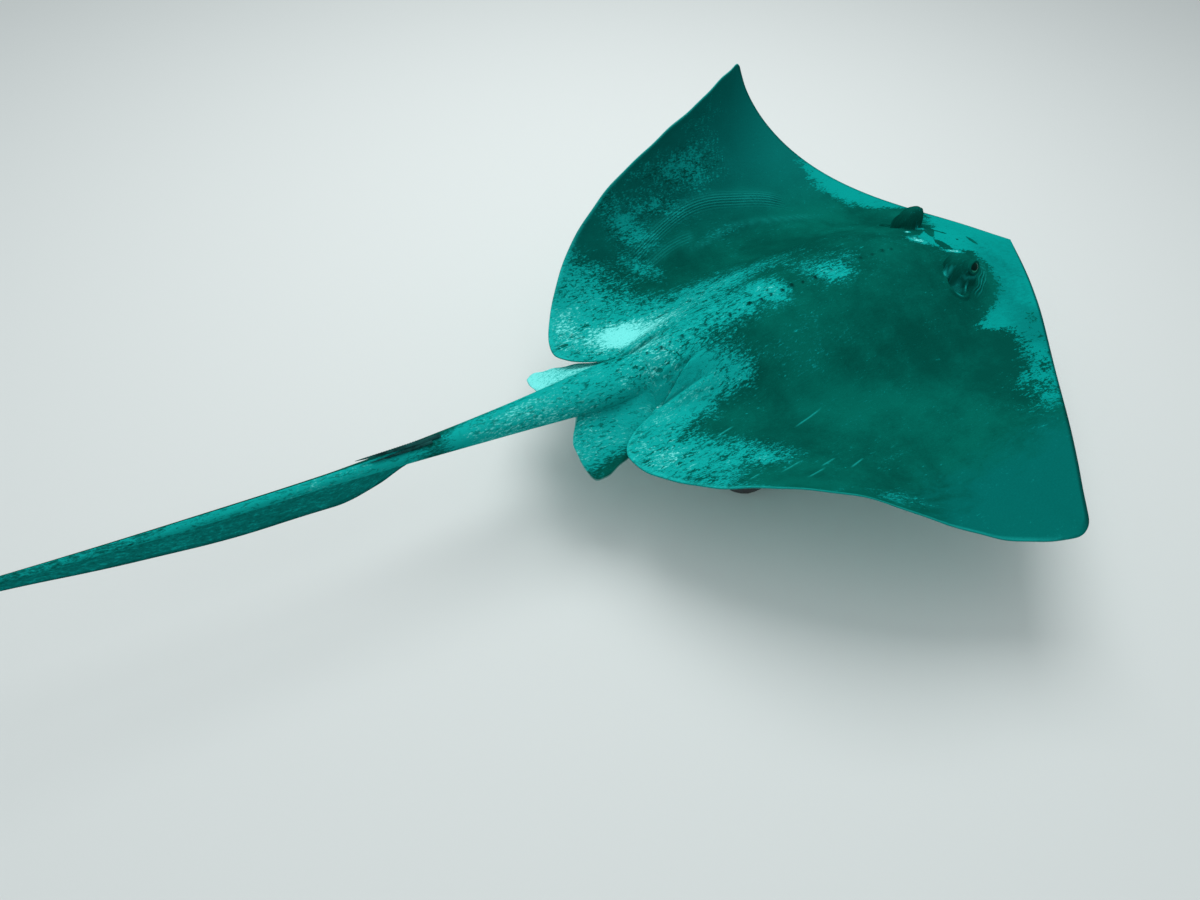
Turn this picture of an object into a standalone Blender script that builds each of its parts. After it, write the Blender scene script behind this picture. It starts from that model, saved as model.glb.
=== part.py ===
"""Stingray, life size, swimming with its left wing raised, on a plain display stand.

The animal faces +X, its left side is +Y and +Z is up. The origin is on the floor,
under the middle of the whole model. Shapes are worked out in disc widths (the span
of the two wings when flat) and are scaled to metres by DISC_WIDTH.
"""
import bpy
import bmesh
import numpy as np
from math import pi
from mathutils import Matrix, Vector

# Driving sizes, in metres
DISC_WIDTH = 1.06          # wing tip to wing tip, measured along the flattened disc
RIDE_HEIGHT = 0.165        # height of the disc's flat margin above the floor
GAP = 0.0003               # clearance between neighbouring solids
EDGE_THICKNESS = 0.0022    # thickness of the disc along its margin

# Mesh density of the faceted solids
OUTLINE_STEPS = 32         # along one side of the disc, snout to armpit of the fin
ARMPIT_STEPS = 5           # rows that fan out from the armpit back to the tail root
SPAN_STEPS = 10            # from the midline to the margin
TAIL_RINGS = 24
TAIL_SIDES = 22

# Everything from here to the stand is in disc widths.
# One side of the flattened disc: (forward, sideways), snout, wing tip, inner rear corner
OUTLINE = ((0.430, 0.000), (0.371, 0.100), (0.252, 0.250), (0.110, 0.400),
           (0.043, 0.475), (0.012, 0.500), (-0.052, 0.475), (-0.184, 0.400),
           (-0.320, 0.280), (-0.400, 0.170), (-0.421, 0.115), (-0.400, 0.084),
           (-0.335, 0.056))
# Where the ray-like lines of the disc leave the midline: (part of the outline, forward)
SPINE = ((0.0, 0.430), (0.45, 0.020), (0.80, -0.165), (1.0, -0.205))

# Height of the back, depth of the belly and half width of the thick body, nose to tail
BODY_AT = (-0.400, -0.335, -0.240, -0.080, 0.080, 0.200, 0.280, 0.360, 0.430)
BACK_HEIGHT = (0.050, 0.056, 0.068, 0.086, 0.090, 0.071, 0.054, 0.026, 0.000)
BELLY_DEPTH = (-0.002, 0.004, 0.014, 0.022, 0.024, 0.020, 0.015, 0.009, 0.000)
BODY_HALF_WIDTH = (0.050, 0.070, 0.130, 0.205, 0.235, 0.205, 0.175, 0.130, 0.060)
FIN_HALF_THICKNESS = 0.009     # of the wing close to the body

# How each wing bends: slope along the span grows from `start` out to the tip
LEFT_WING = {"lift": 1.935, "twist": -4.02, "power": 1.16, "start": 0.1005,
             "wave": 0.0, "wave_at": 0.0, "wave_length": 0.6}
RIGHT_WING = {"lift": 0.399, "twist": -3.463, "power": 0.925, "start": 0.143,
              "wave": 0.408, "wave_at": -0.583, "wave_length": 0.638}

# Tail: distance behind TAIL_ROOT, half width, half height, depth of the skin fold below
TAIL_ROOT = -0.335
TAIL_LENGTH = 1.130
TAIL_AT = (0.000, 0.060, 0.120, 0.200, 0.320, 0.348, 0.400, 0.460, 0.610, 0.740, 0.840,
           0.910, 1.130)
TAIL_HALF_WIDTH = (0.040, 0.036, 0.030, 0.0225, 0.0145, 0.0131, 0.0107, 0.0085, 0.0072,
                   0.0056, 0.0044, 0.0034, 0.0012)
TAIL_HALF_HEIGHT = (0.026, 0.0255, 0.0235, 0.0195, 0.0135, 0.0121, 0.0100, 0.0080, 0.0068,
                    0.0054, 0.0044, 0.0034, 0.0012)
FOLD_DEPTH = (0.0, 0.0, 0.0, 0.0, 0.0, 0.004, 0.030, 0.036, 0.029, 0.018, 0.009, 0.001, 0.0)
FOLD_LEAN = 0.36               # how far it hangs to the right for each unit down
FOLD_HALF_THICKNESS = 0.0019
TAIL_CENTRE_HEIGHT = 0.0232
TAIL_RISE = (0.0108, 0.0087)   # linear and squared rise of the centre line
TAIL_SWAY = 0.056              # squared sway towards the left

# Pelvic fin: free edge from the front, round the outer corner, to the tail side
PELVIC_EDGE = ((-0.345, 0.062), (-0.400, 0.092), (-0.440, 0.107), (-0.463, 0.104),
               (-0.475, 0.076), (-0.470, 0.044))
PELVIC_ROOT = ((-0.325, 0.022), (-0.452, 0.016))
PELVIC_DROOP = 0.36            # fall per unit of sideways distance
PELVIC_ROOT_HEIGHT = 0.008
PELVIC_HALF_THICKNESS = 0.0045

# Head details of the right side; the left side mirrors them, a little ahead, with a taller brow
EYE_AT = (0.222, 0.0785, 0.0670)
EYE_RADIUS = 0.0120
BROW_AT = (0.216, 0.0655, 0.0600)
BROW_RADII = (0.0300, 0.0210, 0.0230)
SPIRACLE_AT = (0.189, 0.0855, 0.0630)
SPIRACLE_RADII = (0.0170, 0.0105, 0.0150)
LEFT_AHEAD = 0.011
LEFT_RAISED = 0.010              # of the brow's top; the eye stays level

# Stings on top of the tail: start behind the tail root, length, half width, lift of the tip
STINGS = {"sting": (0.305, 0.112, 0.0045, 0.0080, 0.0006),
          "second_sting": (0.318, 0.082, 0.0036, 0.0016, -0.0052)}
STING_HALF_THICKNESS = 0.0019
STING_TEETH = 14

# Cuts that part the body into its named pieces
WING_CUT = ((0.420, 0.112), (0.360, 0.108), (0.260, 0.138), (0.100, 0.168),
            (-0.100, 0.150), (-0.240, 0.100), (-0.335, 0.0565), (-0.440, 0.0560))
NECK_AT = 0.118
TAIL_CUTS = (-0.372, -0.640, -0.900, -1.190)

# Stand, in metres
BASE_SIZE = (0.560, 0.340, 0.016)
BASE_CENTRE_X = 0.020
BASE_CORNER = 0.040
BASE_EDGE = 0.002
ROD_RADIUS = 0.006
ROD_AT = (0.200, -0.170)
COLLAR_RADIUS = 0.014
COLLAR_HEIGHT = 0.008


def clear_scene():
    for thing in list(bpy.data.objects):
        bpy.data.objects.remove(thing, do_unlink=True)


def new_collection(name):
    collection = bpy.data.collections.new(name)
    bpy.context.scene.collection.children.link(collection)
    return collection


def principled(name, colour, roughness, metallic=0.0):
    material = bpy.data.materials.new(name)
    material.use_nodes = True
    shader = material.node_tree.nodes["Principled BSDF"]
    shader.inputs["Base Color"].default_value = (*colour, 1.0)
    shader.inputs["Roughness"].default_value = roughness
    shader.inputs["Metallic"].default_value = metallic
    return material


# Curves and heights -----------------------------------------------------------

def smooth_curve(points, count):
    """Natural cubic spline through the points, sampled evenly in its own parameter."""
    points = np.asarray(points, float)
    last = len(points) - 1
    chords = np.linalg.norm(np.diff(points, axis=0), axis=1) ** 0.5
    knots = np.concatenate(([0.0], np.cumsum(chords)))
    matrix = np.eye(last + 1)
    target = np.zeros_like(points)
    for i in range(1, last):
        before, after = chords[i - 1], chords[i]
        matrix[i, i - 1:i + 2] = (before, 2 * (before + after), after)
        target[i] = 6 * ((points[i + 1] - points[i]) / after - (points[i] - points[i - 1]) / before)
    bend = np.linalg.solve(matrix, target)
    at = np.linspace(0.0, knots[-1], count)
    k = np.clip(np.searchsorted(knots, at, side="right") - 1, 0, last - 1)
    width = chords[k][:, None]
    to_next = (knots[k + 1] - at)[:, None]
    from_last = (at - knots[k])[:, None]
    curve = (bend[k] * to_next ** 3 + bend[k + 1] * from_last ** 3) / (6 * width)
    curve += (points[k] / width - bend[k] * width / 6) * to_next
    return curve + (points[k + 1] / width - bend[k + 1] * width / 6) * from_last


def eased(at, places, values):
    """Smooth interpolation of a table, without overshoot (monotone cubic)."""
    places = np.asarray(places, float)
    values = np.asarray(values, float)
    steps = np.diff(places)
    slopes = np.diff(values) / steps
    tangents = np.zeros_like(values)
    tangents[0], tangents[-1] = slopes[0], slopes[-1]
    same_way = slopes[:-1] * slopes[1:] > 0
    mean = 2 * slopes[:-1] * slopes[1:] / np.where(same_way, slopes[:-1] + slopes[1:], 1.0)
    tangents[1:-1] = np.where(same_way, mean, 0.0)
    at = np.clip(at, places[0], places[-1])
    k = np.clip(np.searchsorted(places, at, side="right") - 1, 0, len(steps) - 1)
    t = (at - places[k]) / steps[k]
    return (values[k] * (1 + 2 * t) * (1 - t) ** 2 + values[k + 1] * t ** 2 * (3 - 2 * t)
            + steps[k] * t * (1 - t) * (tangents[k] * (1 - t) - tangents[k + 1] * t))


def bell(distance):
    """1 at 0, falling smoothly to 0 at 1 and beyond."""
    return 0.5 + 0.5 * np.cos(pi * np.clip(np.abs(distance), 0.0, 1.0))


def wing_slope(x, span, wing):
    reach = np.clip((span - wing["start"]) / (0.5 - wing["start"]), 0.0, None) ** wing["power"]
    ripple = np.sin(2 * pi * (x - wing["wave_at"]) / wing["wave_length"])
    ripple = wing["wave"] * ripple * np.clip(span / 0.4, 0, 1) ** 2
    return (wing["lift"] + wing["twist"] * x) * reach + ripple


def bent_wing(x, span, wing, steps=48):
    """Sideways distance, height and slope of the middle surface at `span` along the wing."""
    part = np.linspace(0.0, 1.0, steps).reshape((-1,) + (1,) * np.ndim(span))
    slope = wing_slope(x[None], part * span[None], wing)
    middle = (slope[1:] + slope[:-1]) / 2
    stride = span / (steps - 1)
    return (np.cos(middle) * stride).sum(0), (np.sin(middle) * stride).sum(0), slope[-1]


def fin_thickness(part, reach):
    """Half thickness of the wing: thin at the margin and towards the tip of the snout."""
    return FIN_HALF_THICKNESS * (1 - part) ** 0.8 * np.clip(reach / 0.12, 0.0, 1.0) ** 0.5


def back_height(x, span, part, reach, grow):
    """Height of the back over the middle surface; `part` is 0 on the midline, 1 at the margin."""
    edge = EDGE_THICKNESS / DISC_WIDTH / 2 + grow
    fin = fin_thickness(part, reach)
    body = eased(x, BODY_AT, BACK_HEIGHT) - fin_thickness(0.0, reach)
    body = body * bell(span / eased(x, BODY_AT, BODY_HALF_WIDTH)) * (1 - part ** 4)
    return edge + fin + body


def belly_depth(x, span, part, reach, grow):
    edge = EDGE_THICKNESS / DISC_WIDTH / 2 + grow
    fin = fin_thickness(part, reach) * 0.5
    body = eased(x, BODY_AT, BELLY_DEPTH) - fin_thickness(0.0, reach) * 0.5
    return edge + fin + body * bell(span / eased(x, BODY_AT, BODY_HALF_WIDTH)) * (1 - part ** 4)


def in_metres(points):
    """Disc widths to metres, lifted to the height at which the stand holds the body."""
    scaled = np.asarray(points, float) * DISC_WIDTH
    return scaled + np.array((0.0, 0.0, RIDE_HEIGHT))


# Body: disc and tail as one closed surface --------------------------------------

def disc_rings(grow):
    """Rings of points round the disc, each like a bent section, from snout to tail root."""
    margin = smooth_curve(OUTLINE, OUTLINE_STEPS + 1)
    spine = np.interp(np.linspace(0.0, 1.0, OUTLINE_STEPS + 1), *zip(*SPINE))
    armpit = np.linspace(spine[-1], TAIL_ROOT, ARMPIT_STEPS + 1)[1:]
    spine = np.concatenate((spine, armpit))
    margin = np.concatenate((margin, np.repeat(margin[-1:], ARMPIT_STEPS, axis=0)))
    part = np.linspace(0.0, 1.0, SPAN_STEPS + 1)[None, :]
    x = spine[:, None] + (margin[:, :1] - spine[:, None]) * part
    span = margin[:, 1:] * part
    part = np.broadcast_to(part, x.shape)
    quarters = []
    for side, wing in ((1, LEFT_WING), (-1, RIGHT_WING)):
        sideways, height, slope = bent_wing(x, span, wing)
        back = back_height(x, span, part, margin[:, 1:], grow)
        belly = belly_depth(x, span, part, margin[:, 1:], grow)
        outwards = grow * part ** 8
        for lift in (back, -belly):
            quarters.append(np.stack((x, side * (sideways - np.sin(slope) * lift + outwards),
                                      height + np.cos(slope) * lift), axis=-1))
    left_back, left_belly, right_back, right_belly = quarters
    rim_left = (left_back[:, -1:] + left_belly[:, -1:]) / 2
    rim_right = (right_back[:, -1:] + right_belly[:, -1:]) / 2
    return np.concatenate((left_back, rim_left, left_belly[:, :0:-1], right_belly,
                           rim_right, right_back[:, :0:-1]), axis=1)


def tail_section(behind, sides, grow):
    """One ring of the tail: an oval with the skin fold hanging from its lower side."""
    angle = 2 * pi * np.arange(sides) / sides
    wide = eased(behind, TAIL_AT, TAIL_HALF_WIDTH) + grow
    high = eased(behind, TAIL_AT, TAIL_HALF_HEIGHT) + grow
    fold = eased(behind, TAIL_AT, FOLD_DEPTH)
    y = wide * np.sin(angle)
    z = high * np.cos(angle)
    lowest = np.abs(angle - pi)
    in_fold = np.clip(1 - lowest / (2.5 * 2 * pi / sides), 0.0, 1.0) * min(1.0, fold / 0.004)
    pinch = np.minimum(np.abs(y), FOLD_HALF_THICKNESS + grow) * np.sign(y)
    y = y + (pinch - y) * np.clip(in_fold * 2, 0.0, 1.0)
    hang = fold * np.clip(in_fold * 1.6, 0.0, 1.0)
    y = y - FOLD_LEAN * hang
    z = z - hang
    along = max(behind, 0.0)
    centre_z = TAIL_CENTRE_HEIGHT + TAIL_RISE[0] * along + TAIL_RISE[1] * along ** 2
    x = np.full(sides, TAIL_ROOT - behind)
    return np.stack((x, y + TAIL_SWAY * along ** 2, z + centre_z), axis=-1)


def body_mesh(name, grow=0.0):
    """The whole disc and tail; `grow` is an extra thickness all round, in disc widths."""
    disc = disc_rings(grow)
    last = disc[-1]
    sides = len(last)
    rings = [ring for ring in disc]
    for behind in TAIL_LENGTH * np.linspace(0.0, 1.0, TAIL_RINGS + 1)[1:] ** 1.15:
        count = sides if behind < 0.075 else TAIL_SIDES
        ring = tail_section(behind, count, grow)
        if behind < 0.075:
            blend = float(bell(1 - behind / 0.075)) ** 0.6
            start = last + np.array((-behind, 0.0, 0.0))
            ring = start + (ring - start) * blend
        rings.append(ring)
    mesh = bpy.data.meshes.new(name)
    bm = bmesh.new()
    rows = [[bm.verts.new(Vector(p)) for p in in_metres(ring)] for ring in rings]
    for row, following in zip(rows, rows[1:]):
        bridge(bm, row, following)
    bm.faces.new(reversed(rows[-1]))
    bmesh.ops.remove_doubles(bm, verts=bm.verts, dist=1e-6)
    bmesh.ops.dissolve_degenerate(bm, edges=bm.edges, dist=1e-7)
    bmesh.ops.triangulate(bm, faces=bm.faces)
    bmesh.ops.recalc_face_normals(bm, faces=bm.faces)
    bm.to_mesh(mesh)
    bm.free()
    return mesh


def bridge(bm, row, following):
    """Faces between two rings; the second may have half as many points as the first."""
    step = len(row) // len(following)
    count = len(following)
    for i in range(count):
        first = [row[(i * step + k) % len(row)] for k in range(step + 1)]
        bm.faces.new(first + [following[(i + 1) % count], following[i]])


# Solids and cuts ------------------------------------------------------------------

def add_object(name, mesh, collection, material=None):
    thing = bpy.data.objects.new(name, mesh)
    collection.objects.link(thing)
    if material:
        mesh.materials.clear()
        mesh.materials.append(material)
    return thing


def add_cutter(name, mesh, collection):
    cutter = add_object(name, mesh, collection)
    cutter.hide_render = True
    cutter.display_type = "WIRE"
    return cutter


def boolean(thing, cutter, operation="DIFFERENCE"):
    """Cuts or joins at once, so that the result can be parted into its loose pieces."""
    modifier = thing.modifiers.new("cut", "BOOLEAN")
    modifier.operation = operation
    modifier.solver = "EXACT"
    modifier.object = cutter
    view = bpy.context.evaluated_depsgraph_get()
    mesh = bpy.data.meshes.new_from_object(thing.evaluated_get(view))
    thing.modifiers.remove(modifier)
    thing.data = mesh
    return thing


def loose_pieces(thing, collection):
    """Parts an object into its separate closed bodies and returns them."""
    bm = bmesh.new()
    bm.from_mesh(thing.data)
    unseen = set(bm.verts)
    groups = []
    while unseen:
        stack = [unseen.pop()]
        group = set(stack)
        while stack:
            for edge in stack.pop().link_edges:
                for vert in edge.verts:
                    if vert in unseen:
                        unseen.remove(vert)
                        group.add(vert)
                        stack.append(vert)
        groups.append({vert.index for vert in group})
    bm.free()
    pieces = []
    for group in groups:
        bm = bmesh.new()
        bm.from_mesh(thing.data)
        bm.verts.ensure_lookup_table()
        others = [vert for vert in bm.verts if vert.index not in group]
        bmesh.ops.delete(bm, geom=others, context="VERTS")
        mesh = bpy.data.meshes.new("piece")
        bm.to_mesh(mesh)
        bm.free()
        pieces.append(add_object("piece", mesh, collection))
    bpy.data.objects.remove(thing, do_unlink=True)
    return pieces


def centre_of(thing):
    points = np.array([vert.co[:] for vert in thing.data.vertices])
    return (points.min(0) + points.max(0)) / 2


def wall_across(name, x, collection):
    """A thin upright wall square to the body's length."""
    bpy.ops.mesh.primitive_cube_add(size=1.0, location=(x * DISC_WIDTH, 0.0, RIDE_HEIGHT))
    wall = bpy.context.object
    wall.name = name
    wall.data.transform(Matrix.Diagonal((GAP, 0.6, 0.6, 1.0)))
    for holder in list(wall.users_collection):
        holder.objects.unlink(wall)
    collection.objects.link(wall)
    wall.hide_render = True
    wall.display_type = "WIRE"
    return wall


def wall_along_wing(name, side, collection):
    """A thin upright wall that follows the root of one wing."""
    path = smooth_curve(WING_CUT, 29) * DISC_WIDTH
    mesh = bpy.data.meshes.new(name)
    bm = bmesh.new()
    rows = [[bm.verts.new((x, side * y, RIDE_HEIGHT + z)) for z in (-0.2, 0.2)] for x, y in path]
    for row, following in zip(rows, rows[1:]):
        bm.faces.new((row[0], following[0], following[1], row[1]))
    bm.to_mesh(mesh)
    bm.free()
    wall = add_cutter(name, mesh, collection)
    solidify = wall.modifiers.new("thickness", "SOLIDIFY")
    solidify.thickness = GAP
    solidify.offset = 0.0
    return wall


def smooth_faces(thing, angle=0.6):
    thing.data.shade_smooth()
    thing.data.set_sharp_from_angle(angle=angle)


# The animal --------------------------------------------------------------------------

def build_body(parts, cutters, skin):
    """Head, trunk, two wings and four lengths of tail, parted from one body by thin cuts."""
    body = add_object("body", body_mesh("body"), parts)
    for name, side in (("left_wing_cut", 1), ("right_wing_cut", -1)):
        boolean(body, wall_along_wing(name, side, cutters))
    pieces = loose_pieces(body, parts)
    pieces.sort(key=lambda piece: centre_of(piece)[1])
    right_wing, middle, left_wing = pieces
    right_wing.name = "right_wing"
    left_wing.name = "left_wing"
    cuts = (NECK_AT,) + TAIL_CUTS
    for number, x in enumerate(cuts):
        boolean(middle, wall_across("cross_cut_%d" % number, x, cutters))
    lengths = loose_pieces(middle, parts)
    lengths.sort(key=lambda piece: -centre_of(piece)[0])
    names = ("head", "trunk", "tail_base", "tail_middle", "tail_rear", "tail_whip")
    for name, piece in zip(names, lengths, strict=True):
        piece.name = name
    built = {piece.name: piece for piece in lengths + [right_wing, left_wing]}
    for piece in built.values():
        piece.data.materials.clear()
        piece.data.materials.append(skin)
        smooth_faces(piece)
    return built


def ellipsoid(name, centre, radii, collection, grow=0.0):
    bm = bmesh.new()
    bmesh.ops.create_uvsphere(bm, u_segments=14, v_segments=8, radius=1.0)
    size = [radius * DISC_WIDTH + grow for radius in radii]
    bmesh.ops.scale(bm, verts=bm.verts, vec=size)
    bmesh.ops.translate(bm, verts=bm.verts, vec=Vector(in_metres(centre)))
    mesh = bpy.data.meshes.new(name)
    bm.to_mesh(mesh)
    bm.free()
    return add_object(name, mesh, collection)


def build_eyes(parts, cutters, head, skin, glassy):
    """Eyeballs set in the sides of two brows, with the spiracles open behind them."""
    for name, side in (("left", 1), ("right", -1)):
        mirror = np.array((1, side, 1))
        ahead, raised = (LEFT_AHEAD, LEFT_RAISED) if side > 0 else (0.0, 0.0)
        eye_at = np.array(EYE_AT) + (ahead, 0, 0)
        brow_at = np.array(BROW_AT) + (ahead, 0, raised / 2)
        brow_radii = np.array(BROW_RADII) + (0, 0, raised / 2)
        spiracle_at = np.array(SPIRACLE_AT) + (ahead, 0, 0)
        radii = (EYE_RADIUS,) * 3
        shapes = ((name + "_brow", brow_at, brow_radii, 0.0, "UNION"),
                  (name + "_socket", eye_at, radii, GAP, "DIFFERENCE"),
                  (name + "_spiracle", spiracle_at, SPIRACLE_RADII, 0.0, "DIFFERENCE"))
        for title, centre, size, grow, operation in shapes:
            cutter = ellipsoid(title, centre * mirror, size, cutters, grow)
            cutter.hide_render = True
            cutter.display_type = "WIRE"
            boolean(head, cutter, operation)
        eye = ellipsoid(name + "_eye", eye_at * mirror, radii, parts)
        eye.data.materials.append(glassy)
        smooth_faces(eye)
    head.data.materials.clear()
    head.data.materials.append(skin)
    smooth_faces(head)


def pelvic_mesh(name, side):
    """A thin rounded fin that hangs a little outwards from the tail root."""
    columns, rows = 8, 4
    edge = smooth_curve(PELVIC_EDGE, columns + 1)
    root = np.linspace(PELVIC_ROOT[0], PELVIC_ROOT[1], columns + 1)
    bm = bmesh.new()
    layers = []
    for above in (1, -1):
        layer = []
        for part in np.linspace(0.0, 1.0, rows + 1):
            line = root + (edge - root) * part
            thick = PELVIC_HALF_THICKNESS * (1 - part) ** 0.7 + EDGE_THICKNESS / DISC_WIDTH / 2
            height = PELVIC_ROOT_HEIGHT - PELVIC_DROOP * (line[:, 1] - PELVIC_ROOT[0][1])
            points = np.column_stack((line[:, 0], side * line[:, 1], height + above * thick))
            layer.append([bm.verts.new(Vector(p)) for p in in_metres(points)])
        layers.append(layer)
    for layer in layers:
        for row, following in zip(layer, layer[1:]):
            for i in range(columns):
                bm.faces.new((row[i], row[i + 1], following[i + 1], following[i]))
    top, under = layers
    rim = [row[0] for row in top] + top[-1][1:] + [row[-1] for row in top[-2::-1]] + top[0][-2:0:-1]
    low = [row[0] for row in under] + under[-1][1:] + [row[-1] for row in under[-2::-1]] + under[0][-2:0:-1]
    for i in range(len(rim)):
        k = (i + 1) % len(rim)
        bm.faces.new((rim[i], rim[k], low[k], low[i]))
    bmesh.ops.triangulate(bm, faces=bm.faces)
    bmesh.ops.recalc_face_normals(bm, faces=bm.faces)
    mesh = bpy.data.meshes.new(name)
    bm.to_mesh(mesh)
    bm.free()
    return mesh


def build_pelvic_fins(parts, grown_body, skin):
    for name, side in (("left_pelvic_fin", 1), ("right_pelvic_fin", -1)):
        fin = add_object(name, pelvic_mesh(name, side), parts)
        boolean(fin, grown_body)
        keep_farthest(fin, parts, side)
        fin = bpy.data.objects[name]
        fin.data.materials.clear()
        fin.data.materials.append(skin)
        smooth_faces(fin)


def keep_farthest(thing, collection, side):
    """Keeps the piece that reaches farthest to one side, and drops slivers inside the body."""
    name = thing.name
    pieces = loose_pieces(thing, collection)
    pieces.sort(key=lambda piece: side * centre_of(piece)[1])
    for sliver in pieces[:-1]:
        bpy.data.objects.remove(sliver, do_unlink=True)
    pieces[-1].name = name


def sting_mesh(name, start, length, half_width, lift, sideways):
    """A flat spine, pointed at the rear, with saw teeth along both edges."""
    bm = bmesh.new()
    rings = []
    count = STING_TEETH * 2
    for i in range(count + 1):
        part = i / count
        behind = start + length * part
        taper = (1 - part) ** 0.55 * min(1.0, 0.75 + part)
        tooth = 1.0 if i % 2 else 0.80
        wide = max(half_width * taper * tooth, 0.0005)
        thick = max(STING_HALF_THICKNESS * (1 - part) ** 0.5, 0.0004)
        top = float(eased(behind, TAIL_AT, TAIL_HALF_HEIGHT))
        along = behind
        z = TAIL_CENTRE_HEIGHT + TAIL_RISE[0] * along + TAIL_RISE[1] * along ** 2 + top
        z += STING_HALF_THICKNESS * 0.6 + lift * part ** 1.5
        y = TAIL_SWAY * along ** 2 + sideways
        x = TAIL_ROOT - behind
        section = ((y - wide, z), (y, z - thick), (y + wide, z), (y, z + thick))
        rings.append([bm.verts.new(Vector(in_metres((x, a, b)))) for a, b in section])
    for row, following in zip(rings, rings[1:]):
        bridge(bm, row, following)
    bm.faces.new(rings[0])
    bm.faces.new(reversed(rings[-1]))
    bmesh.ops.triangulate(bm, faces=bm.faces)
    bmesh.ops.recalc_face_normals(bm, faces=bm.faces)
    mesh = bpy.data.meshes.new(name)
    bm.to_mesh(mesh)
    bm.free()
    return mesh


def build_stings(parts, grown_body, horn):
    for name, (start, length, half_width, lift, sideways) in STINGS.items():
        sting = add_object(name, sting_mesh(name, start, length, half_width, lift, sideways), parts)
        boolean(sting, grown_body)
        sting.data.materials.clear()
        sting.data.materials.append(horn)


# The stand ------------------------------------------------------------------------------

def build_stand(parts, grown_body, base_paint, steel):
    """A flat plate with two short rods that end at the belly."""
    bpy.ops.mesh.primitive_cube_add(size=1.0)
    base = bpy.context.object
    base.name = "stand_base"
    base.data.transform(Matrix.Diagonal((*BASE_SIZE, 1.0)))
    base.data.transform(Matrix.Translation((BASE_CENTRE_X, 0.0, BASE_SIZE[2] / 2)))
    bm = bmesh.new()
    bm.from_mesh(base.data)
    upright = [e for e in bm.edges if abs(e.verts[0].co.z - e.verts[1].co.z) > BASE_SIZE[2] / 2]
    bmesh.ops.bevel(bm, geom=upright, offset=BASE_CORNER, segments=5, affect="EDGES", profile=0.5)
    top = [e for e in bm.edges if min(v.co.z for v in e.verts) > BASE_SIZE[2] * 0.99]
    bmesh.ops.bevel(bm, geom=top, offset=BASE_EDGE, segments=2, affect="EDGES", profile=0.5)
    bm.to_mesh(base.data)
    bm.free()
    move_to(base, parts)
    base.data.materials.append(base_paint)
    for name, x in zip(("stand_front_rod", "stand_rear_rod"), ROD_AT, strict=True):
        bottom = BASE_SIZE[2] + GAP
        top = RIDE_HEIGHT + 0.02
        rod = cylinder(name, ROD_RADIUS, bottom, top, x)
        collar = cylinder("collar", COLLAR_RADIUS, bottom, bottom + COLLAR_HEIGHT, x)
        boolean(rod, collar, "UNION")
        bpy.data.objects.remove(collar, do_unlink=True)
        boolean(rod, grown_body)
        move_to(rod, parts)
        keep_lowest(rod, parts)
        rod = bpy.data.objects[name]
        rod.data.materials.clear()
        rod.data.materials.append(steel)
        smooth_faces(rod)


def keep_lowest(thing, collection):
    """Keeps the piece under the belly, and drops any that stands out above the back."""
    name = thing.name
    pieces = loose_pieces(thing, collection)
    pieces.sort(key=lambda piece: centre_of(piece)[2])
    for stray in pieces[1:]:
        bpy.data.objects.remove(stray, do_unlink=True)
    pieces[0].name = name


def cylinder(name, radius, bottom, top, x):
    bpy.ops.mesh.primitive_cylinder_add(vertices=20, radius=radius, depth=top - bottom,
                                        location=(0.0, 0.0, 0.0))
    thing = bpy.context.object
    thing.name = name
    thing.data.transform(Matrix.Translation((x, 0.0, (top + bottom) / 2)))
    return thing


def move_to(thing, collection):
    for holder in list(thing.users_collection):
        holder.objects.unlink(thing)
    collection.objects.link(thing)


def centre_on_origin(parts, cutters):
    """Slides everything along X and Y so that the whole model's box is centred on the origin."""
    points = np.concatenate([[vert.co[:] for vert in thing.data.vertices] for thing in parts.objects])
    middle = (points.min(0) + points.max(0)) / 2
    slide = Matrix.Translation((-middle[0], -middle[1], 0.0))
    for thing in list(parts.objects) + list(cutters.objects):
        thing.data.transform(slide)


def main():
    clear_scene()
    parts = new_collection("Stingray")
    cutters = new_collection("Cutters")
    skin = principled("skin", (0.012, 0.105, 0.100), 0.45)
    glassy = principled("eye", (0.010, 0.012, 0.012), 0.10)
    horn = principled("sting", (0.055, 0.075, 0.070), 0.55)
    base_paint = principled("base", (0.055, 0.058, 0.060), 0.50)
    steel = principled("rods", (0.620, 0.630, 0.640), 0.30, metallic=1.0)
    grown_body = add_cutter("grown_body", body_mesh("grown_body", GAP / DISC_WIDTH), cutters)
    body = build_body(parts, cutters, skin)
    build_eyes(parts, cutters, body["head"], skin, glassy)
    build_pelvic_fins(parts, grown_body, skin)
    build_stings(parts, grown_body, horn)
    build_stand(parts, grown_body, base_paint, steel)
    centre_on_origin(parts, cutters)


main()
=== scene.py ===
"""Looks of a life-size stingray model: wet skin, eyes, stings, display stand and studio.

The animal faces +X, its left side is +Y and +Z is up. Its shapes are worked out in disc
widths, on the flattened animal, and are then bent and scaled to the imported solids.
"""
from math import cos, pi, radians, sin

import bmesh
import bpy
import numpy as np
from bpy.props import FloatProperty, FloatVectorProperty, IntProperty, PointerProperty
from mathutils import Matrix, Vector


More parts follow.
